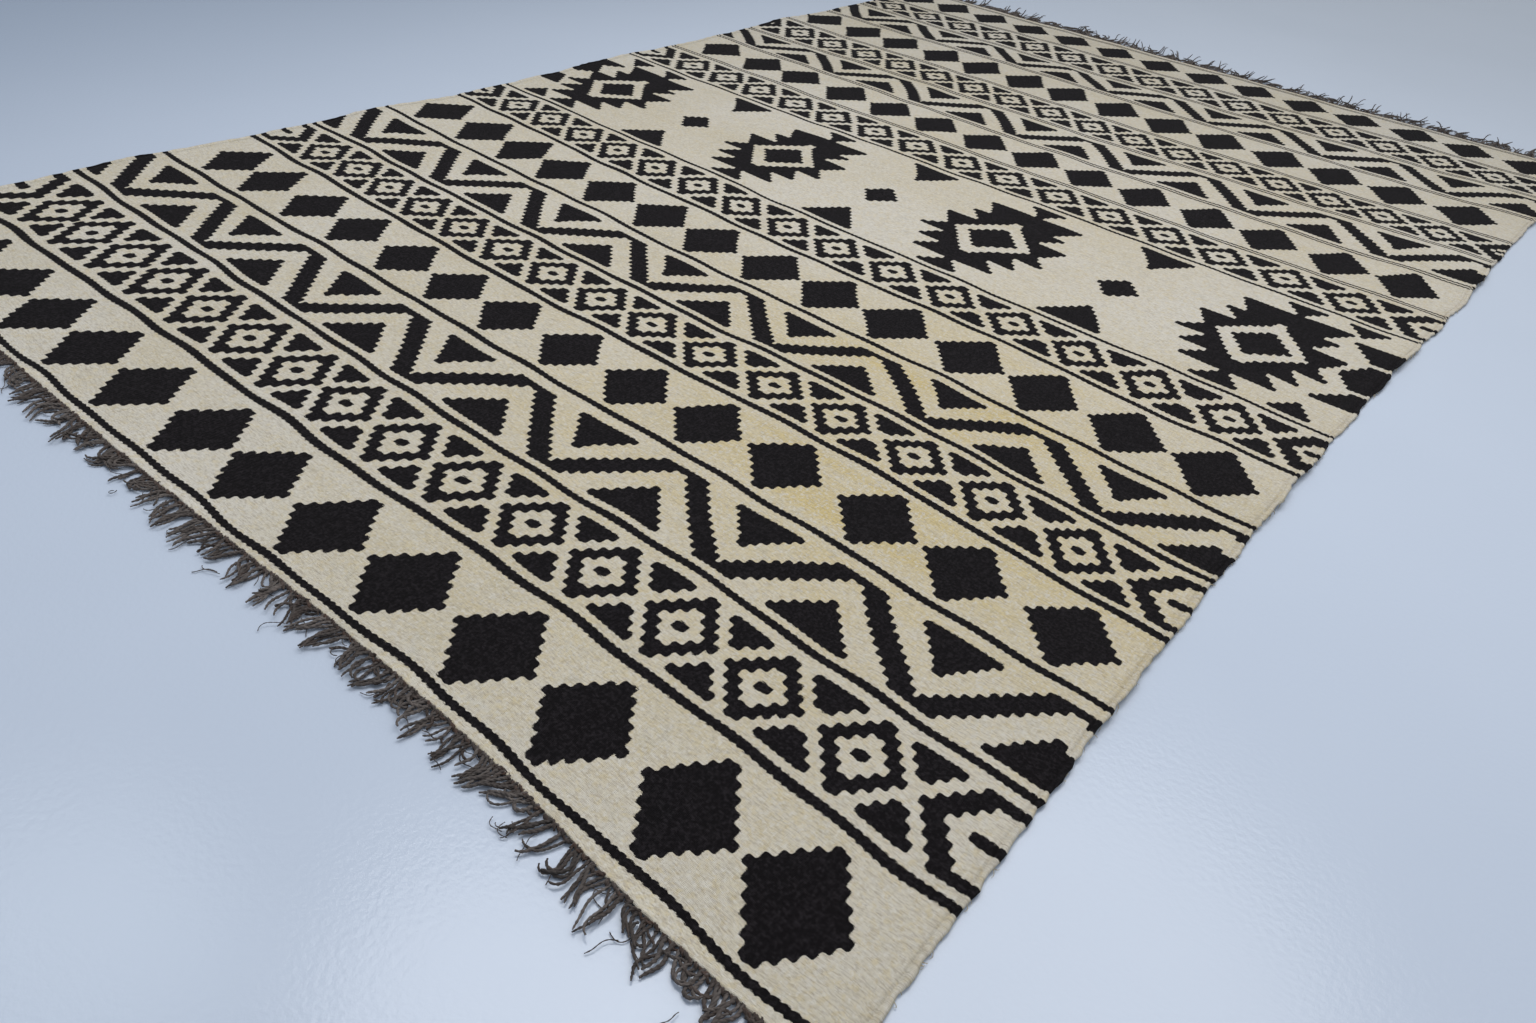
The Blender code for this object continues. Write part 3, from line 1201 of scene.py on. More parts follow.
@dataclass(frozen=True)
class SpunYarn(Finish):
    """Hand-spun goat hair and wool: dark brown to grey, strand by strand."""

    dark: Colour = (0.032, 0.026, 0.024)
    grey: Colour = (0.172, 0.149, 0.137)
    red: Colour = (0.085, 0.047, 0.033)
    fibre: float = 900.0
    relief: float = 0.0005

    def paint(self, graph: Graph, shader: bpy.types.Node) -> None:
        """Feeds a colour for each strand, broken by the fibres in it.

        Args:
            graph: the material's nodes.
            shader: its Principled shader.
        """
        place = graph.node("ShaderNodeTexCoord").outputs["Object"]
        tint = graph.parts(graph.node("ShaderNodeAttribute", attribute_name="tint").outputs["Vector"])
        colour = graph.blend(tint[0], self.dark, self.grey)
        colour = graph.blend(tint[1], colour, self.red)
        fibres = graph.noise(place, self.fibre, detail=3.0)
        mottle = graph.noise(place, self.fibre / 6, detail=2.0)
        colour = graph.blend(graph.ranged(mottle, low=0.35, high=0.70, stop=0.55), colour, self.dark)
        colour = graph.blend(graph.ranged(fibres, low=0.55, high=0.75, stop=0.5), colour, self.grey)
        graph.feed(shader.inputs["Base Color"], colour)
        graph.relief(shader, strength=0.6, distance=self.relief, height=fibres)


@dataclass(frozen=True)
class PaintedFloor(Finish):
    """A smooth floor in pale gloss paint, with the faint orange peel of a roller, and a painted shade that
    dims it to a bluer grey towards -X.
    """

    paint_colour: Colour = (0.565, 0.625, 0.735)
    shade: Colour = (0.540, 0.600, 0.708)
    # Painted shade: the floor's colour turns to this darker, bluer one as X goes from the first limit below
    # to the second.
    painted_shade: Colour = (0.400, 0.470, 0.590)
    painted_shade_from: float = -0.6
    painted_shade_to: float = -2.4
    peel: float = 150.0
    relief: float = 0.0007

    def paint(self, graph: Graph, shader: bpy.types.Node) -> None:
        """Feeds the paint's faint clouds, its painted shade towards -X, and its relief.

        Args:
            graph: the material's nodes.
            shader: its Principled shader.
        """
        place = graph.node("ShaderNodeTexCoord").outputs["Object"]
        clouds = graph.ranged(graph.noise(place, scale=0.9, detail=4.0), low=0.35, high=0.65)
        colour = graph.blend(clouds, self.shade, self.paint_colour)
        # Painted shade: the floor darkens and turns bluer towards -X, as if less light reached it there.
        across, _, _ = graph.parts(place)
        wear_and_painted_shade = graph.ranged(across, self.painted_shade_from, self.painted_shade_to)
        graph.feed(shader.inputs["Base Color"], graph.blend(wear_and_painted_shade, colour, self.painted_shade))
        peel = graph.noise(place, self.peel, detail=3.0)
        graph.relief(shader, strength=0.35, distance=self.relief, height=peel)


# The cloth


def link(obj: bpy.types.Object) -> bpy.types.Object:
    """Puts an object in the scene."""
    bpy.context.scene.collection.objects.link(obj)
    return obj


def stitch(many: Sequence[int], few: Sequence[int]) -> list[tuple[int, int, int]]:
    """Triangles between two chains of points that run the same way.

    Args:
        many: the chain with more points.
        few: the chain with fewer points.

    Returns:
        Triangles that wind from the first chain to the second.
    """
    made = []
    k = 0
    for i in range(len(many) - 1):
        while k + 1 < len(few) and (2 * k + 1) / (2 * (len(few) - 1)) <= (i + 0.5) / (len(many) - 1):
            made.append((many[i], few[k + 1], few[k]))
            k += 1
        made.append((many[i], many[i + 1], few[k]))
    for j in range(k, len(few) - 1):
        made.append((many[-1], few[j + 1], few[j]))
    return made


class RimPoint(NamedTuple):
    """A point of the rim's section: how far out of the hem it is, and its share of the thickness."""

    out: float
    up: float


END_RIM = (
    RimPoint(0.0011, 1.03),
    RimPoint(0.0021, 0.80),
    RimPoint(0.0024, 0.50),
    RimPoint(0.0019, 0.18),
    RimPoint(0.0008, 0.00),
)

SELVEDGE_RIM = (
    RimPoint(0.0005, 0.80),
    RimPoint(0.0022, 1.28),
    RimPoint(0.0054, 1.34),
    RimPoint(0.0078, 0.78),
    RimPoint(0.0056, 0.00),
)


class Perimeter(NamedTuple):
    """Once round the upper face's edge, from its near left corner.

    Each step has the point that it starts from, the way out there, the cell that it goes along, and
    which place on that cell's edge it holds in X and in Y. -1 is where the step runs along the edge.
    """

    points: np.ndarray
    outward: np.ndarray
    cells: np.ndarray
    holds: np.ndarray


@dataclass
class SheetMesh:
    """The cloth's points and faces while it is made."""

    points: list[np.ndarray] = field(default_factory=list)
    faces: list[list[int]] = field(default_factory=list)

    def add(self, points: np.ndarray) -> np.ndarray:
        """Adds points.

        Args:
            points: the points, in an array of any shape whose last axis is X, Y and Z.

        Returns:
            Their numbers, in the same shape without its last axis.
        """
        start = sum(len(p) for p in self.points)
        self.points.append(points.reshape(-1, 3))
        return start + np.arange(points.size // 3).reshape(points.shape[:-1])

    def fill(self, grid: np.ndarray, turned: bool = False) -> None:
        """Fills a grid of points with four-sided faces.

        Args:
            grid: the points' numbers, row by row.
            turned: whether the faces wind the other way round.
        """
        corners = [grid[:-1, :-1], grid[:-1, 1:], grid[1:, 1:], grid[1:, :-1]]
        if turned:
            corners[1:] = corners[:0:-1]
        self.faces.extend(np.stack(corners, axis=-1).reshape(-1, 4).tolist())


@dataclass
class Cloth:
    """The woven ground, one closed sheet whose upper faces are the cells of the chart."""

    outline: Outline
    chart: Chart
    finish: Finish
    name: str = "cloth_weave"
    thick: float = 0.0045
    buckle: float = 0.0014
    buckle_waves: int = 7
    shortest_buckle: float = 0.14
    longest_buckle: float = 0.55
    weft: float = 0.00145
    under_columns: int = 24
    under_rows: int = 36
    under_inset: float = 0.02
    selvedge_hem: float = 0.0062
    selvedge_play: float = 0.24
    selvedge_rise: float = 0.3
    end_play: float = 0.0011
    rim_columns: float = 0.12
    rim_wefts: float = 8.0
    seed: int = 4

    def heights(self, x: np.ndarray, y: np.ndarray) -> np.ndarray:
        """How high the underside stands, with the cloth's own faint buckles.

        Args:
            x: the places across the rug.
            y: the places along it.

        Returns:
            The height at each place.
        """
        chance = random.Random(self.seed)
        buckles = np.zeros_like(x)
        for _ in range(self.buckle_waves):
            turn = chance.uniform(0, math.pi)
            length = chance.uniform(self.shortest_buckle, self.longest_buckle)
            along = (x * math.cos(turn) + y * math.sin(turn)) / length + chance.random()
            buckles += np.sin(2 * math.pi * along)
        return self.outline.lift(x, y) + self.buckle * np.clip(0.5 + buckles / self.buckle_waves, 0, 1)

    def plan(self, across: np.ndarray, y: np.ndarray, inset: float) -> np.ndarray:
        """The X of points given by their share of the width."""
        left, right = self.outline.left(y) + inset, self.outline.right(y) - inset
        return left + (right - left) * across

    def build(self) -> bpy.types.Object:
        """Makes the cloth.

        Returns:
            The cloth's object, with its chart as face attributes and two UV maps.
        """
        made = SheetMesh()
        index = self.add_upper_face(made)
        rim = self.perimeter(index)
        self.add_underside(made, self.add_rim(made, rim), index)
        mesh = bpy.data.meshes.new(self.name)
        mesh.from_pydata(np.concatenate(made.points).tolist(), [], made.faces)
        mesh.update()
        self.write_chart(mesh, rim)
        self.lay_uv(mesh, rim)
        mesh.shade_smooth()
        mesh.materials.append(self.finish.material())
        return link(bpy.data.objects.new(self.name, mesh))

    def add_upper_face(self, made: SheetMesh) -> np.ndarray:
        """Adds a face for each cell of the chart.

        Args:
            made: the mesh so far.

        Returns:
            The points' numbers, by line and column.
        """
        columns = self.chart.columns
        lines = self.chart.lines.copy()
        play = np.array([random.Random(self.seed + k).uniform(-1, 1) for k in range(2 * columns + 2)])
        lines[0] += self.end_play * play[: columns + 1]
        lines[-1] += self.end_play * play[columns + 1 :]
        x = self.plan(np.linspace(0, 1, columns + 1), lines, self.selvedge_hem)
        index = made.add(np.stack([x, lines, self.heights(x, lines) + self.thick], axis=-1))
        made.fill(index)
        return index

    def perimeter(self, index: np.ndarray) -> Perimeter:
        """Goes once round the upper face's edge.

        Args:
            index: the points of the upper face, by line and column.

        Returns:
            The steps, along the near end, the right selvedge, the far end and the left selvedge.
        """
        rows, columns = index.shape[0] - 1, index.shape[1] - 1
        cells = np.arange(rows * columns).reshape(rows, columns)
        sides = (
            (index[0, :-1], cells[0], (0.0, -1.0), (-1.0, 0.0)),
            (index[:-1, -1], cells[:, -1], (1.0, 0.0), (1.0, -1.0)),
            (index[-1, :0:-1], cells[-1, ::-1], (0.0, 1.0), (-1.0, 1.0)),
            (index[:0:-1, 0], cells[::-1, 0], (-1.0, 0.0), (0.0, -1.0)),
        )
        outward = np.concatenate([np.tile((*way, 0.0), (len(points), 1)) for points, _, way, _ in sides])
        corners = np.array([0, columns, columns + rows, 2 * columns + rows])
        outward[corners] = (outward[corners] + outward[corners - 1]) / math.sqrt(2)
        return Perimeter(
            points=np.concatenate([points for points, _, _, _ in sides]),
            outward=outward,
            cells=np.concatenate([owners for _, owners, _, _ in sides]),
            holds=np.concatenate([np.tile(hold, (len(points), 1)) for points, _, _, hold in sides]),
        )

    def add_rim(self, made: SheetMesh, rim: Perimeter) -> np.ndarray:
        """Adds the rim: plain at the woven ends, rolled and uneven at the selvedges.

        Args:
            made: the mesh so far.
            rim: the edge that it hangs from.

        Returns:
            The rim's lowest points once round, with the first one again at the end.
        """
        chance = random.Random(self.seed)
        swell = np.array([1 + self.selvedge_play * chance.uniform(-1, 1) for _ in rim.points])
        at_selvedge = np.abs(rim.outward[:, 0]) > 0.5
        base = made.points[0][rim.points]
        rings = []
        for at_end, at_side in zip(END_RIM, SELVEDGE_RIM):
            out = np.where(at_selvedge, at_side.out * swell, at_end.out)
            rise = 1 - self.selvedge_rise + self.selvedge_rise * swell
            up = np.where(at_selvedge, at_side.up * rise, at_end.up)
            ring = base + rim.outward * out[:, None]
            ring[:, 2] = base[:, 2] - self.thick * (1 - up)
            rings.append(ring)
        index = np.vstack([rim.points, made.add(np.array(rings))])
        closed = np.hstack([index, index[:, :1]])
        made.fill(closed, turned=True)
        return closed[-1]

    def add_underside(self, made: SheetMesh, ring: np.ndarray, index: np.ndarray) -> None:
        """Closes the cloth from below with a coarse grid inside its rim.

        Args:
            made: the mesh so far.
            ring: the rim's lowest points, once round.
            index: the points of the upper face, by line and column.
        """
        across = np.linspace(0, 1, self.under_columns + 1)
        along = np.linspace(0, 1, self.under_rows + 1)[:, None]
        flat_x = self.chart.half_width * (2 * across - 1)
        near = self.outline.end(End.NEAR, flat_x) + self.under_inset
        far = self.outline.end(End.FAR, flat_x) - self.under_inset
        y = near + (far - near) * along
        x = self.plan(across, y, self.under_inset)
        grid = made.add(np.stack([x, y, self.heights(x, y)], axis=-1))
        made.fill(grid, turned=True)
        rows, columns = index.shape[0] - 1, index.shape[1] - 1
        corners = np.cumsum([0, columns, rows, columns, rows])
        inner = (grid[0], grid[:, -1], grid[-1, ::-1], grid[::-1, 0])
        for start, stop, few in zip(corners, corners[1:], inner):
            many = ring[start : stop + 1].tolist()
            made.faces.extend([a, c, b] for a, b, c in stitch(many, few.tolist()))

    def write_chart(self, mesh: bpy.types.Mesh, rim: Perimeter) -> None:
        """Writes what each cell shows. A face of the rim shows what the cell beside it does.

        Args:
            mesh: the cloth's mesh, whose faces are the cells, then the rim, then the underside.
            rim: the edge that the rim hangs from.
        """
        cells = self.chart.cells()
        seams = np.stack([cells.left, cells.right, cells.seam], axis=-1)
        owners = np.tile(rim.cells, len(END_RIM))
        for name, kind, key, table in (
            ("chart", "FLOAT_VECTOR", "vector", seams),
            ("turns", "FLOAT_COLOR", "color", cells.turns),
        ):
            flat = table.reshape(-1, table.shape[-1])
            values = np.zeros((len(mesh.polygons), table.shape[-1]), np.float32)
            values[: len(flat)] = flat
            values[len(flat) : len(flat) + len(owners)] = flat[owners]
            mesh.attributes.new(name, kind, "FACE").data.foreach_set(key, values.ravel())

    def lay_uv(self, mesh: bpy.types.Mesh, rim: Perimeter) -> None:
        """Lays two UV maps: the place in the cell, and the place in the weave in columns and wefts.

        Args:
            mesh: the cloth's mesh, whose faces are the cells, then the rim, then the underside.
            rim: the edge that the rim hangs from.
        """
        rows, columns = len(self.chart.places), self.chart.columns
        count, rings = rows * columns, len(END_RIM)
        heights = np.diff(self.chart.lines, axis=0).mean(axis=1)
        wefts = np.concatenate([[0.0], np.cumsum(heights / self.weft)])
        # Where a face's four corners are. In a cell: across it and up it. In the rim: out and along.
        over, on = np.array([(0, 0), (1, 0), (1, 1), (0, 1)], float).T
        hold = np.tile(rim.holds, (rings, 1))[:, :, None]
        # The far end and the left selvedge are gone along backwards.
        backwards = (hold[:, 1] == 1.0) | (hold[:, 0] == 0.0)
        share = np.where(backwards, 1 - on, on)[:, None]
        at_rim = np.where(hold < 0, share, hold)
        way = np.where(hold < 0, 0.0, 2 * hold - 1)
        beyond = (np.repeat(np.arange(rings), len(rim.cells))[:, None] + over)[:, None] * way
        place = np.concatenate([np.broadcast_to((over, on), (count, 2, 4)), at_rim])
        beyond = np.concatenate([np.zeros((count, 2, 4)), self.rim_columns * beyond])
        row, column = np.divmod(np.concatenate([np.arange(count), np.tile(rim.cells, rings)]), columns)
        foot, head = wefts[row][:, None], wefts[row + 1][:, None]
        across = column[:, None] + place[:, 0] + beyond[:, 0]
        along = foot + (head - foot) * place[:, 1] + self.rim_wefts * beyond[:, 1]

        cell_uv = np.zeros((len(mesh.loops), 2), np.float32)
        cell_uv[: across.size] = place.transpose(0, 2, 1).reshape(-1, 2)
        weave_uv = np.zeros((len(mesh.loops), 2), np.float32)
        weave_uv[: across.size] = np.stack([across.ravel(), along.ravel()], axis=-1)
        weave_uv[across.size :] = self.under_uv(mesh, across.size)
        for name, uv in (("weave", weave_uv), ("cell", cell_uv)):
            mesh.uv_layers.new(name=name).uv.foreach_set("vector", uv.ravel())

    def under_uv(self, mesh: bpy.types.Mesh, start: int) -> np.ndarray:
        """The place in the weave at the underside's corners, from their plan.

        Args:
            mesh: the cloth's mesh.
            start: the first corner of the underside.

        Returns:
            Columns and wefts, corner by corner.
        """
        corners = np.zeros(len(mesh.loops), np.int32)
        mesh.loops.foreach_get("vertex_index", corners)
        places = np.zeros(3 * len(mesh.vertices), np.float32)
        mesh.vertices.foreach_get("co", places)
        plan = places.reshape(-1, 3)[corners[start:], :2]
        width = 2 * self.chart.half_width
        plan += (width / 2, self.outline.half_length)
        return plan / (width / self.chart.columns, self.weft)


# Yarn


@dataclass
class Guides:
    """The lines that yarns follow, with a thickness and a tint at each point."""

    points: list[Place] = field(default_factory=list)
    edges: list[tuple[int, int]] = field(default_factory=list)
    thickness: list[float] = field(default_factory=list)
    tints: list[Place] = field(default_factory=list)

    def add(self, line: Sequence[Vector], thickness: Sequence[float], tint: tuple[float, float]) -> None:
        """Adds one line.

        Args:
            line: its points.
            thickness: the yarn's thickness at each, as a share of the usual one.
            tint: how grey and how red the yarn is.
        """
        start = len(self.points)
        self.points.extend(tuple(p) for p in line)
        self.edges.extend((start + k, start + k + 1) for k in range(len(line) - 1))
        self.thickness.extend(thickness)
        self.tints.extend([(*tint, 0.0)] * len(line))

    def mesh(self, name: str) -> bpy.types.Mesh:
        """Makes the lines a mesh of edges.

        Args:
            name: the mesh's name.

        Returns:
            The mesh, with the thickness and the tint as attributes.
        """
        mesh = bpy.data.meshes.new(name)
        mesh.from_pydata(self.points, self.edges, [])
        mesh.attributes.new("thickness", "FLOAT", "POINT").data.foreach_set("value", self.thickness)
        tints = mesh.attributes.new("tint", "FLOAT_VECTOR", "POINT")
        tints.data.foreach_set("vector", np.array(self.tints, np.float32).ravel())
        return mesh


class GeometryTree:
    """A Geometry Nodes tree with named inputs, ended by Realize Instances and Set Material."""

    def __init__(self, name: str, inputs: dict[str, tuple[str, Any]]) -> None:
        """Starts the tree.

        Args:
            name: the tree's name.
            inputs: the type and the usual value of each input, by its name.
        """
        self.tree = bpy.data.node_groups.new(name, "GeometryNodeTree")
        face = self.tree.interface
        face.new_socket("Geometry", in_out="INPUT", socket_type="NodeSocketGeometry")
        for label, (kind, value) in inputs.items():
            face.new_socket(label, in_out="INPUT", socket_type=kind).default_value = value
        face.new_socket("Material", in_out="INPUT", socket_type="NodeSocketMaterial")
        face.new_socket("Geometry", in_out="OUTPUT", socket_type="NodeSocketGeometry")
        self.graph = Graph(self.tree)
        self.source = self.graph.node("NodeGroupInput").outputs

    def named(self, name: str, kind: str) -> Socket:
        """The values of a named attribute."""
        return self.graph.node("GeometryNodeInputNamedAttribute", {"Name": name}, data_type=kind).outputs[0]

    def end(self, geometry: Socket) -> bpy.types.NodeTree:
        """Closes the tree.

        Args:
            geometry: what it has made.

        Returns:
            The finished tree.
        """
        real = self.graph.node("GeometryNodeRealizeInstances", {0: geometry})
        smooth = self.graph.node("GeometryNodeSetShadeSmooth", {0: real.outputs[0]})
        inputs = {"Geometry": smooth.outputs[0], "Material": self.source["Material"]}
        dressed = self.graph.node("GeometryNodeSetMaterial", inputs)
        self.graph.node("NodeGroupOutput", {0: dressed.outputs[0]})
        return self.tree


def yarn_tree() -> bpy.types.NodeTree:
    """Sweeps twisted plies along lines.

    Returns:
        A tree whose inputs are the plies' radius and offset, the twist's pitch, the points on a line
        and the sides of a ply.
    """
    made = GeometryTree(
        "twisted_yarn",
        {
            "Ply radius": ("NodeSocketFloat", 0.001),
            "Ply offset": ("NodeSocketFloat", 0.0009),
            "Twist pitch": ("NodeSocketFloat", 0.012),
            "Points": ("NodeSocketInt", 20),
            "Sides": ("NodeSocketInt", 5),
        },
    )
    graph, source = made.graph, made.source
    curve = graph.node("GeometryNodeMeshToCurve", {0: source["Geometry"]}).outputs[0]
    curve = graph.node("GeometryNodeCurveSplineType", {0: curve}, spline_type="CATMULL_ROM").outputs[0]
    curve = graph.node("GeometryNodeResampleCurve", {"Curve": curve, "Count": source["Points"]}).outputs[0]
    thickness = made.named("thickness", "FLOAT")
    normal = graph.node("GeometryNodeInputNormal").outputs[0]
    tangent = graph.node("GeometryNodeInputTangent").outputs[0]
    across = graph.vector("CROSS_PRODUCT", tangent, normal)
    length = graph.node("GeometryNodeSplineParameter").outputs["Length"]
    turns = graph.math("DIVIDE", length, source["Twist pitch"])
    radius = graph.math("MULTIPLY", source["Ply radius"], thickness)
    offset = graph.math("MULTIPLY", source["Ply offset"], thickness)
    ring = graph.node("GeometryNodeCurvePrimitiveCircle", {"Resolution": source["Sides"], "Radius": 1.0})
    plies = graph.node("GeometryNodeJoinGeometry")
    for start in (0.0, 0.5):
        angle = graph.math("MULTIPLY", graph.math("ADD", turns, start), 2 * math.pi)
        side = graph.scaled(normal, graph.math("MULTIPLY", graph.math("COSINE", angle), offset))
        rise = graph.scaled(across, graph.math("MULTIPLY", graph.math("SINE", angle), offset))
        shift = {"Geometry": curve, "Offset": graph.vector("ADD", side, rise)}
        moved = graph.node("GeometryNodeSetPosition", shift).outputs[0]
        sweep = {"Curve": moved, "Profile Curve": ring.outputs[0], "Scale": radius, "Fill Caps": True}
        ply = graph.node("GeometryNodeCurveToMesh", sweep)
        graph.tree.links.new(ply.outputs[0], plies.inputs[0])
    return made.end(plies.outputs[0])


def grown(
    mesh: bpy.types.Mesh, tree: bpy.types.NodeTree, name: str, values: dict[str, Any]
) -> bpy.types.Object:
    """Runs a Geometry Nodes tree on a mesh and keeps the result as a plain mesh.

    Args:
        mesh: what the tree starts from.
        tree: the tree.
        name: the new piece's name.
        values: what its named inputs are set to.

    Returns:
        The piece.
    """
    carrier = link(bpy.data.objects.new(name + "_guides", mesh))
    modifier = carrier.modifiers.new("grow", "NODES")
    modifier.node_group = tree
    sockets = {s.name: s.identifier for s in tree.interface.items_tree if s.in_out == "INPUT"}
    for label, value in values.items():
        modifier[sockets[label]] = value
    graph = bpy.context.evaluated_depsgraph_get()
    plain = bpy.data.meshes.new_from_object(carrier.evaluated_get(graph))
    carrier.modifiers.remove(modifier)
    bpy.data.objects.remove(carrier, do_unlink=True)
    plain.name = name
    return link(bpy.data.objects.new(name, plain))


class Twist(NamedTuple):
    """How a piece's yarn is twisted, and how finely it is cut.

    The offset is that of a ply from the yarn's middle, as a share of the ply's radius.
    """

    radius: float
    offset: float
    pitch: float
    points: int
    sides: int


class YarnPiece(ABC):
    """A piece made of twisted yarn, which runs along lines of its own."""

    name: str
    twist: Twist

    @abstractmethod
    def guides(self) -> Guides:
        """Lays the lines that the yarns follow.

        Returns:
            The lines.
        """

    def build(self, tree: bpy.types.NodeTree, material: bpy.types.Material) -> bpy.types.Object:
        """Makes the piece.

        Args:
            tree: the yarn tree.
            material: the yarn's material.

        Returns:
            The piece.
        """
        values = {
            "Ply radius": self.twist.radius,
            "Ply offset": self.twist.radius * self.twist.offset,
            "Twist pitch": self.twist.pitch,
            "Points": self.twist.points,
            "Sides": self.twist.sides,
            "Material": material,
        }
        return grown(self.guides().mesh(self.name), tree, self.name, values)


class Span(NamedTuple):
    """The lowest and the highest that a thing may be."""

    low: float
    high: float

    def draw(self, chance: random.Random) -> float:
        """A value between the two."""
        return chance.uniform(self.low, self.high)


class Sweep(NamedTuple):
    """How one strand runs over the floor. Angles are in radians, from straight out of the cloth."""

    heading: float
    curl: float
    hook: float
    length: float
    thick: float


class Heights(NamedTuple):
    """How high a strand lies over its rest at its root, midway and at its tip."""

    root: float
    midway: float
    tip: float


@dataclass
class Fringe(YarnPiece):
    """The warp ends at one woven end: twisted strands in loose locks, over a tangle at their roots."""

    name: str
    end: End
    outline: Outline
    strands: int
    tangles: int
    reach: Span
    rise: float
    lean: float = 0.34
    curl: float = 0.85
    hook_share: float = 0.34
    hook: float = 2.6
    hook_from: float = 0.35
    hook_power: float = 1.4
    waver: float = 0.30
    waver_turns: float = 7.0
    most_in_lock: int = 5
    lock_lean: float = 0.5
    strand_lean: float = 0.09
    strand_curl: float = 0.20
    strand_hook: Span = Span(0.5, 1.2)
    strand_length: Span = Span(0.78, 1.10)
    fullness: float = 0.10
    strand_play: Span = Span(-0.4, 0.4)
    drawn_in: Span = Span(0.2, 0.9)
    thickness: Span = Span(0.80, 1.25)
    lock_grey: Span = Span(0.1, 0.7)
    strand_grey: Span = Span(0.0, 0.4)
    redness: Span = Span(0.0, 0.2)
    tuck: float = 0.002
    side_gap: float = 0.005
    root_height: float = 0.0012
    level_from: float = 0.30
    level_to: float = 0.65
    layer: Span = Span(0.0, 0.0036)
    climb: Span = Span(-0.5, 1.0)
    climb_power: float = 1.5
    tip_climb: Span = Span(0.5, 1.0)
    hook_tip: float = 0.0015
    taper: float = 0.5
    taper_power: int = 6
    clearance: float = 0.0002
    highest: float = 0.0195
    limit: float = 1.604
    tangle_thickness: tuple[float, ...] = (0.26, 0.30, 0.75, 0.90)
    thickest_wisp: float = 0.5
    tangle_out: Span = Span(0.000, 0.012)
    wisp_out: Span = Span(0.004, 0.040)
    tangle_length: Span = Span(0.018, 0.034)
    tangle_heading: Span = Span(-1.4, 1.4)
    tangle_curl: float = 2.2
    tangle_lie: Span = Span(0.0008, 0.0048)
    tangle_grey: Span = Span(0.0, 0.5)
    tangle_redness: Span = Span(0.0, 0.4)
    guide_points: int = 12
    twist: Twist = Twist(radius=0.00128, offset=0.58, pitch=0.011, points=16, sides=5)
    seed: int = 31

    def line(self, chance: random.Random, x: float, out: float, sweep: Sweep, lie: Heights) -> list[Vector]:
        """One strand's line, turned a little at each step.

        Args:
            chance: the source of its wavering.
            x: its root across the rug.
            out: how far out of the cloth's edge its root is.
            sweep: how it runs.
            lie: how high it lies.

        Returns:
            Its points from the root to the tip.
        """
        side = self.end.value
        edge = float(self.outline.end(self.end, np.array(x)))
        rest = self.twist.radius * (1 + self.twist.offset) * sweep.thick + self.clearance
        step = sweep.length / (self.guide_points - 1)
        turn = chance.uniform(0.0, 2 * math.pi)
        stations = (0.0, self.level_from, self.level_to, 1.0)
        heights = (lie.root, lie.midway, lie.midway, lie.tip)
        line = []
        for k in range(self.guide_points):
            share = k / (self.guide_points - 1)
            bent = max(0.0, (share - self.hook_from) / (1 - self.hook_from)) ** self.hook_power
            wave = math.sin(self.waver_turns * share + turn)
            angle = sweep.heading + sweep.curl * share + self.waver * wave + sweep.hook * bent
            y = side * min(abs(edge + side * max(out, -self.tuck)), self.limit)
            height = rest + float(np.interp(share, stations, heights))
            line.append(Vector((x, y, min(height, self.highest))))
            x += step * math.sin(angle)
            out += step * math.cos(angle)
        return line

    def guides(self) -> Guides:
        """Lays the strands' lines lock by lock, then the short tangled ones.

        Returns:
            The lines.
        """
        chance = random.Random(self.seed)
        made = Guides()
        left, right = self.outline.span(self.end, self.side_gap)
        pitch = (right - left) / self.strands
        roots = left + pitch * (np.arange(self.strands) + 0.5)
        drift = self.lean * wander(roots, chance, shortest=0.05, longest=0.60)
        fullness = wander(roots, chance, shortest=0.07, longest=0.40)
        k = 0
        while k < self.strands:
            count = min(chance.randint(1, self.most_in_lock), self.strands - k)
            lock = slice(k, k + count)
            self.add_lock(made, chance, pitch, roots[lock].tolist(), float(drift[k]), fullness[lock].tolist())
            k += count
        for _ in range(self.tangles):
            self.add_tangle(made, chance, chance.uniform(left, right))
        return made

    def add_lock(
        self,
        made: Guides,
        chance: random.Random,
        pitch: float,
        roots: list[float],
        drift: float,
        fullness: list[float],
    ) -> None:
        """Adds a few strands that lean and curl alike.

        Args:
            made: the lines so far.
            chance: the source of how they lie.
            pitch: the distance between two roots.
            roots: where they leave the cloth.
            drift: how far the fringe leans there, in radians.
            fullness: how long each strand is, from about -1 to 1.
        """
        reach = self.reach.draw(chance)
        heading = drift + chance.gauss(0.0, self.lock_lean * self.lean)
        curl = chance.gauss(0.0, self.curl)
        hook = chance.choice((-1, 1)) * self.hook if chance.random() < self.hook_share else 0.0
        grey = self.lock_grey.draw(chance)
        centre = roots[0] + 0.5 * pitch * (len(roots) - 1)
        for root, full in zip(roots, fullness):
            x = root + self.strand_play.draw(chance) * pitch
            inward = (centre - x) / reach * self.drawn_in.draw(chance)
            sweep = Sweep(
                heading=heading + inward + chance.gauss(0.0, self.strand_lean),
                curl=curl + chance.gauss(0.0, self.strand_curl),
                hook=hook * self.strand_hook.draw(chance),
                length=reach * self.strand_length.draw(chance) * (1.0 + self.fullness * full),
                thick=self.thickness.draw(chance),
            )
            midway = self.layer.draw(chance)
            climb = midway + self.rise * max(0.0, self.climb.draw(chance)) ** self.climb_power
            tip = climb * self.tip_climb.draw(chance) if hook == 0.0 else midway + self.hook_tip
            line = self.line(chance, x, -self.tuck, sweep, Heights(self.root_height, midway, tip))
            shares = [n / (len(line) - 1) for n in range(len(line))]
            widths = [sweep.thick * (1.0 - self.taper * share**self.taper_power) for share in shares]
            tint = (min(1.0, grey + self.strand_grey.draw(chance)), self.redness.draw(chance))
            made.add(line, widths, tint)

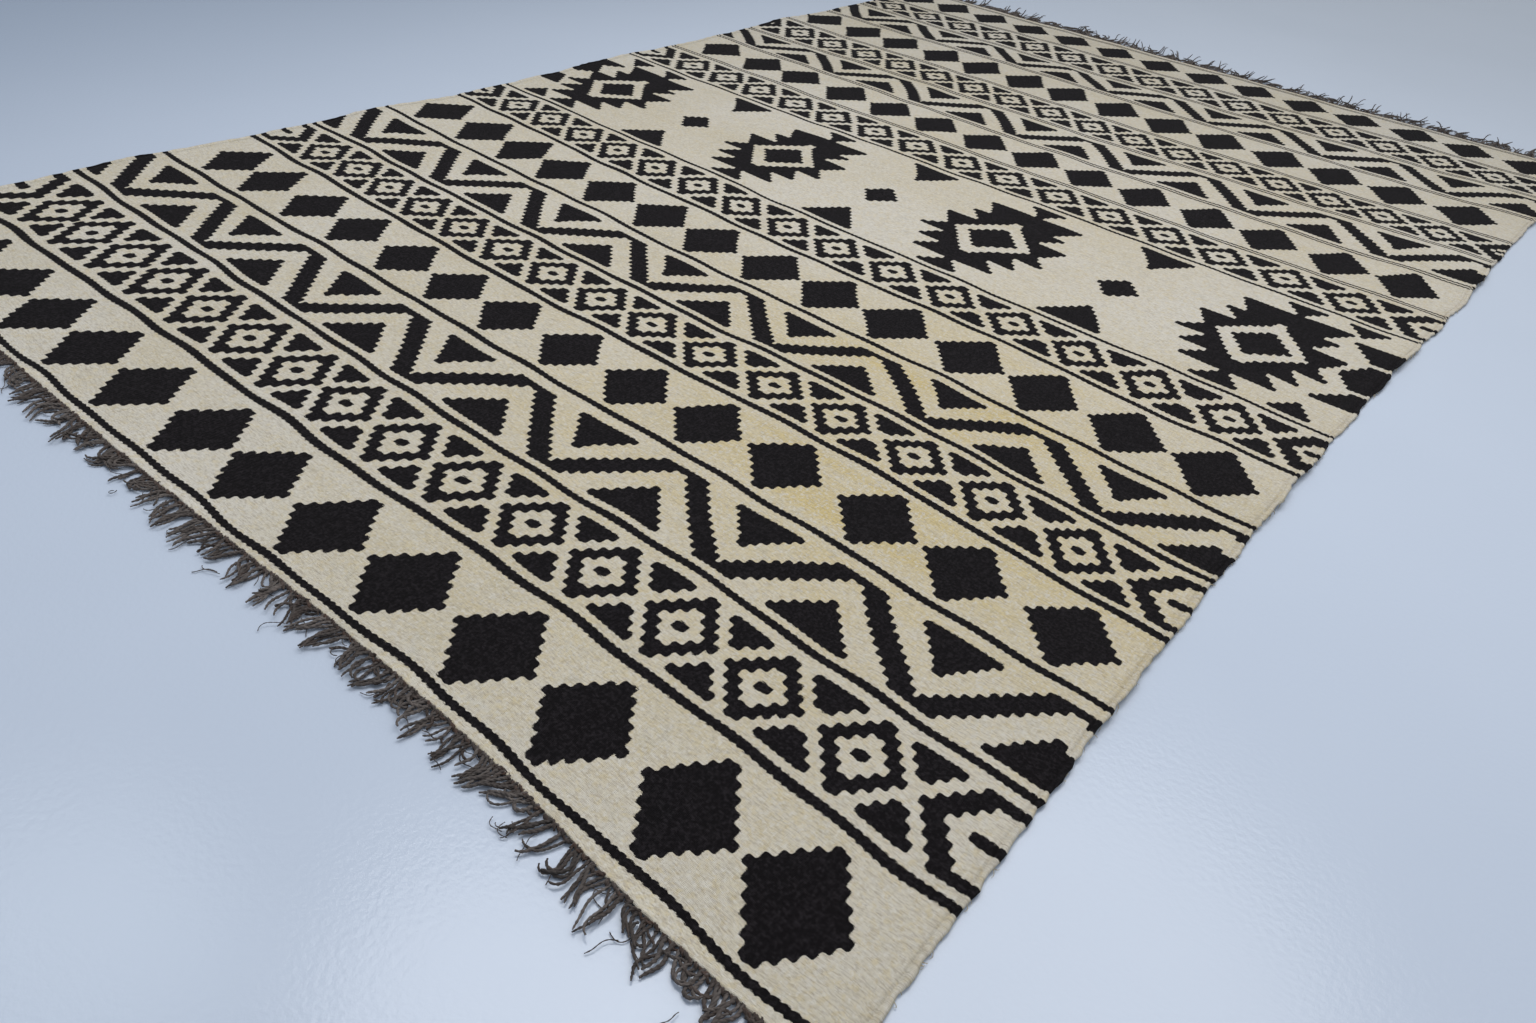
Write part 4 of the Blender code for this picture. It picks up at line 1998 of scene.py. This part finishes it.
    def add_tangle(self, made: Guides, chance: random.Random, x: float) -> None:
        """Adds one short end, a thick one at the roots or a thin wisp further out.

        Args:
            made: the lines so far.
            chance: the source of how it lies.
            x: its root across the rug.
        """
        thick = chance.choice(self.tangle_thickness)
        out = (self.tangle_out if thick > self.thickest_wisp else self.wisp_out).draw(chance)
        length = self.tangle_length.draw(chance)
        heading, curl = self.tangle_heading.draw(chance), chance.gauss(0.0, self.tangle_curl)
        lie = self.tangle_lie.draw(chance)
        sweep = Sweep(heading, curl, 0.0, length, thick)
        line = self.line(chance, x, out, sweep, Heights(root=0.7 * lie, midway=lie, tip=0.5 * lie))
        tint = (self.tangle_grey.draw(chance), self.tangle_redness.draw(chance))
        made.add(line, [thick] * len(line), tint)


class HitchPoint(NamedTuple):
    """A point of a knot's yarn: its place along the edge, out of it and up, and its width there."""

    along: float
    out: float
    up: float
    width: float


HITCH = (
    HitchPoint(-1.00, -0.0012, -0.0010, 0.7),
    HitchPoint(-0.35, 0.0004, 0.0008, 1.1),
    HitchPoint(0.35, 0.0020, 0.0006, 1.1),
    HitchPoint(1.00, 0.0036, -0.0014, 0.7),
)


@dataclass
class KnottedEnd(YarnPiece):
    """The knots that close the weave, in an uneven row along one woven end."""

    name: str
    end: End
    outline: Outline
    spacing: float = 0.0052
    side_gap: float = 0.004
    half_length: float = 0.0042
    height: float = 0.0036
    place_play: Span = Span(-0.0018, 0.0018)
    edge_play: Span = Span(-0.0016, 0.0020)
    tilt_play: Span = Span(0.4, 1.3)
    height_play: Span = Span(-0.0008, 0.0012)
    thickness: Span = Span(0.7, 1.25)
    grey: Span = Span(0.0, 0.5)
    redness: Span = Span(0.1, 0.8)
    twist: Twist = Twist(radius=0.00105, offset=0.7, pitch=0.009, points=9, sides=5)
    seed: int = 47

    def guides(self) -> Guides:
        """Lays a short hitch of yarn along the edge for each pair of warps, no two alike.

        Returns:
            The lines.
        """
        chance = random.Random(self.seed)
        made = Guides()
        side = self.end.value
        left, right = self.outline.span(self.end, self.side_gap)
        count = round((right - left) / self.spacing)
        for k in range(count):
            x = left + (right - left) * (k + 0.5) / count + self.place_play.draw(chance)
            edge = float(self.outline.end(self.end, np.array(x))) + side * self.edge_play.draw(chance)
            tilt = chance.choice((-1, 1, 1)) * self.half_length * self.tilt_play.draw(chance)
            high = self.height + self.height_play.draw(chance)
            line = [Vector((x + p.along * tilt, edge + side * p.out, high + p.up)) for p in HITCH]
            thick = self.thickness.draw(chance)
            tint = (self.grey.draw(chance), self.redness.draw(chance))
            made.add(line, [thick * p.width for p in HITCH], tint)
        return made


@dataclass
class StrayWool(YarnPiece):
    """Loose ends of cream wool that stand out of the two selvedges."""

    name: str
    outline: Outline
    count: int = 560
    reach: Span = Span(0.003, 0.011)
    along: Span = Span(-1.0, 1.0)
    out: Span = Span(0.15, 0.50)
    tip: Span = Span(0.5, 1.1)
    thickness: Span = Span(0.6, 1.4)
    grey: Span = Span(0.0, 1.0)
    redness: Span = Span(0.0, 0.3)
    end_gap: float = 0.004
    tuck: float = 0.0018
    height: float = 0.0034
    lift: float = 0.0006
    twist: Twist = Twist(radius=0.00024, offset=1.0, pitch=0.006, points=8, sides=4)
    seed: int = 59

    def guides(self) -> Guides:
        """Lays short curved ends that leave the rolled edge and fall back along it.

        Returns:
            The lines.
        """
        chance = random.Random(self.seed)
        made = Guides()
        half = self.outline.half_length - self.end_gap
        for _ in range(self.count):
            way, y = chance.choice((-1, 1)), chance.uniform(-half, half)
            edge = self.outline.right if way > 0 else self.outline.left
            x = float(edge(np.array(y)))
            length = self.reach.draw(chance)
            along = length * self.along.draw(chance)
            out = way * length * self.out.draw(chance)
            high = self.height + float(self.outline.lift(np.array(x), np.array(y)))
            line = [
                Vector((x - way * self.tuck, y, high)),
                Vector((x + 0.35 * out, y + 0.25 * along, high + self.lift)),
                Vector((x + 0.90 * out, y + 0.65 * along, 0.7 * high)),
                Vector((x + out * self.tip.draw(chance), y + along, 0.3 * high + self.lift)),
            ]
            thick = self.thickness.draw(chance)
            tint = (self.grey.draw(chance), self.redness.draw(chance))
            made.add(line, [thick, thick, 0.8 * thick, 0.4 * thick], tint)
        return made


# The studio


class SoftLight(NamedTuple):
    """A soft round light that faces a point."""

    name: str
    place: Place
    aim: Place
    size: float
    power: float
    colour: Colour


LIGHTS = (
    SoftLight("window", (-1.65, -1.65, 2.75), (0.1, -1.2, 0.0), 1.0, 6.0, (0.86, 0.94, 1.0)),
    SoftLight("lamp", (-0.45, -0.85, 2.75), (0.3, -1.1, 0.0), 1.20, 15.5, (0.95, 0.97, 1.0)),
    SoftLight("ceiling", (0.65, 0.30, 2.9), (0.25, -0.3, 0.0), 2.5, 42.5, (1.0, 0.99, 0.97)),
)


@dataclass(frozen=True)
class Studio:
    """The floor, the light and the camera."""

    floor_size: float = 80.0
    floor_finish: Finish = PaintedFloor("floor_paint", roughness=0.20)
    sky_bright: Colour = (0.88, 0.94, 1.0)
    sky_dim: Colour = (0.26, 0.31, 0.39)
    sky_way: Place = (0.35, 0.60, 0.72)
    sky_from: float = -0.35
    sky_to: float = 0.85
    sky_strength: float = 0.60
    camera_place: Place = (1.17435, -1.92499, 0.85160)
    camera_aim: Place = (0.50901, -1.03204, 0.0)
    camera_roll: float = math.radians(6.3824)
    lens: float = 26.11
    sensor: float = 36.0
    nearest: float = 0.01

    def floor(self) -> None:
        """Lays a level floor under the rug."""
        half = self.floor_size / 2
        mesh = bpy.data.meshes.new("floor")
        corners = [(-half, -half, 0.0), (half, -half, 0.0), (half, half, 0.0), (-half, half, 0.0)]
        mesh.from_pydata(corners, [], [(0, 1, 2, 3)])
        mesh.materials.append(self.floor_finish.material())
        floor = link(bpy.data.objects.new("floor", mesh))

    def lights(self) -> None:
        """Hangs the soft lights and makes the pale surroundings."""
        for light in LIGHTS:
            lamp = bpy.data.lights.new(light.name, "AREA")
            lamp.shape = "DISK"
            lamp.size = light.size
            lamp.energy = light.power
            lamp.color = light.colour
            obj = link(bpy.data.objects.new(light.name, lamp))
            obj.location = light.place
            way = Vector(light.aim) - Vector(light.place)
            obj.rotation_euler = way.to_track_quat("-Z", "Y").to_euler()
        world = bpy.data.worlds.new("studio")
        world.use_nodes = True
        graph = Graph(world.node_tree)
        way = graph.node("ShaderNodeTexCoord").outputs["Generated"]
        facing = graph.node("ShaderNodeVectorMath", {0: way, 1: self.sky_way}, operation="DOT_PRODUCT")
        share = graph.ranged(facing.outputs["Value"], self.sky_from, self.sky_to)
        sky = world.node_tree.nodes["Background"]
        graph.feed(sky.inputs["Color"], graph.blend(share, self.sky_dim, self.sky_bright))
        sky.inputs["Strength"].default_value = self.sky_strength
        bpy.context.scene.world = world
        bpy.context.scene.view_settings.view_transform = "Standard"

    def camera(self) -> None:
        """Sets up the camera at the photograph's place, with its slight tilt."""
        data = bpy.data.cameras.new("camera")
        data.sensor_width = self.sensor
        data.lens = self.lens
        data.clip_start = self.nearest
        camera = link(bpy.data.objects.new("camera", data))
        place, aim = Vector(self.camera_place), Vector(self.camera_aim)
        look = (aim - place).to_track_quat("-Z", "Y").to_matrix().to_4x4()
        turn = Matrix.Rotation(self.camera_roll, 4, "Z")
        camera.matrix_world = Matrix.Translation(place) @ look @ turn
        bpy.context.scene.camera = camera


def settle(piece: bpy.types.Object, slot: str, *nodes: str) -> bpy.types.Object:
    """Makes a piece ride on the rug's one body, in the place of its solids.

    Args:
        piece: the finished piece.
        slot: a material slot of the record. It is not used.
        nodes: the solids that it stands for.

    Returns:
        The same piece.
    """
    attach(piece, BODY)
    if nodes:
        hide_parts(*nodes)
    LOG.info("%s: %d faces", piece.name, len(piece.data.polygons))
    return piece


def main() -> None:
    """Builds the rug piece by piece, then the floor, the lights and the camera."""
    logging.basicConfig(level=logging.INFO, format="%(name)s: %(message)s")
    outline = Outline()
    chart = Chart(outline)
    wool = WovenWool("woven_wool", roughness=0.95, gloss=0.09, sheen=0.02, sheen_tint=(1.0, 0.95, 0.86))
    cloth = settle(Cloth(outline, chart, wool).build(), WOOL_SLOT, "cloth")

    yarn = SpunYarn("warp_yarn", roughness=0.9, gloss=0.2, sheen=0.12, sheen_tint=(0.9, 0.8, 0.7)).material()
    loose = SpunYarn(
        "loose_wool",
        roughness=0.95,
        gloss=0.16,
        dark=(0.38, 0.31, 0.20),
        grey=(0.62, 0.56, 0.42),
        red=(0.30, 0.20, 0.11),
    ).material()
    near = Fringe(
        name="fringe_near_yarn",
        end=End.NEAR,
        outline=outline,
        strands=350,
        tangles=160,
        reach=Span(0.037, 0.052),
        rise=0.004,
    )
    far = Fringe(
        name="fringe_far_yarn",
        end=End.FAR,
        outline=outline,
        strands=380,
        tangles=110,
        reach=Span(0.056, 0.078),
        rise=0.034,
        lean=0.24,
        limit=1.628,
        seed=77,
    )
    tree = yarn_tree()
    trimmings = [
        settle(near.build(tree, yarn), YARN_SLOT, "fringe_near"),
        settle(far.build(tree, yarn), YARN_SLOT, "fringe_far"),
        settle(KnottedEnd("knots_near", End.NEAR, outline).build(tree, yarn), YARN_SLOT),
        settle(KnottedEnd("knots_far", End.FAR, outline).build(tree, yarn), YARN_SLOT),
        settle(StrayWool("stray_wool", outline).build(tree, loose), WOOL_SLOT),
    ]

    studio = Studio()
    studio.floor()
    studio.lights()
    studio.camera()


if __name__ == "__main__":
    main()
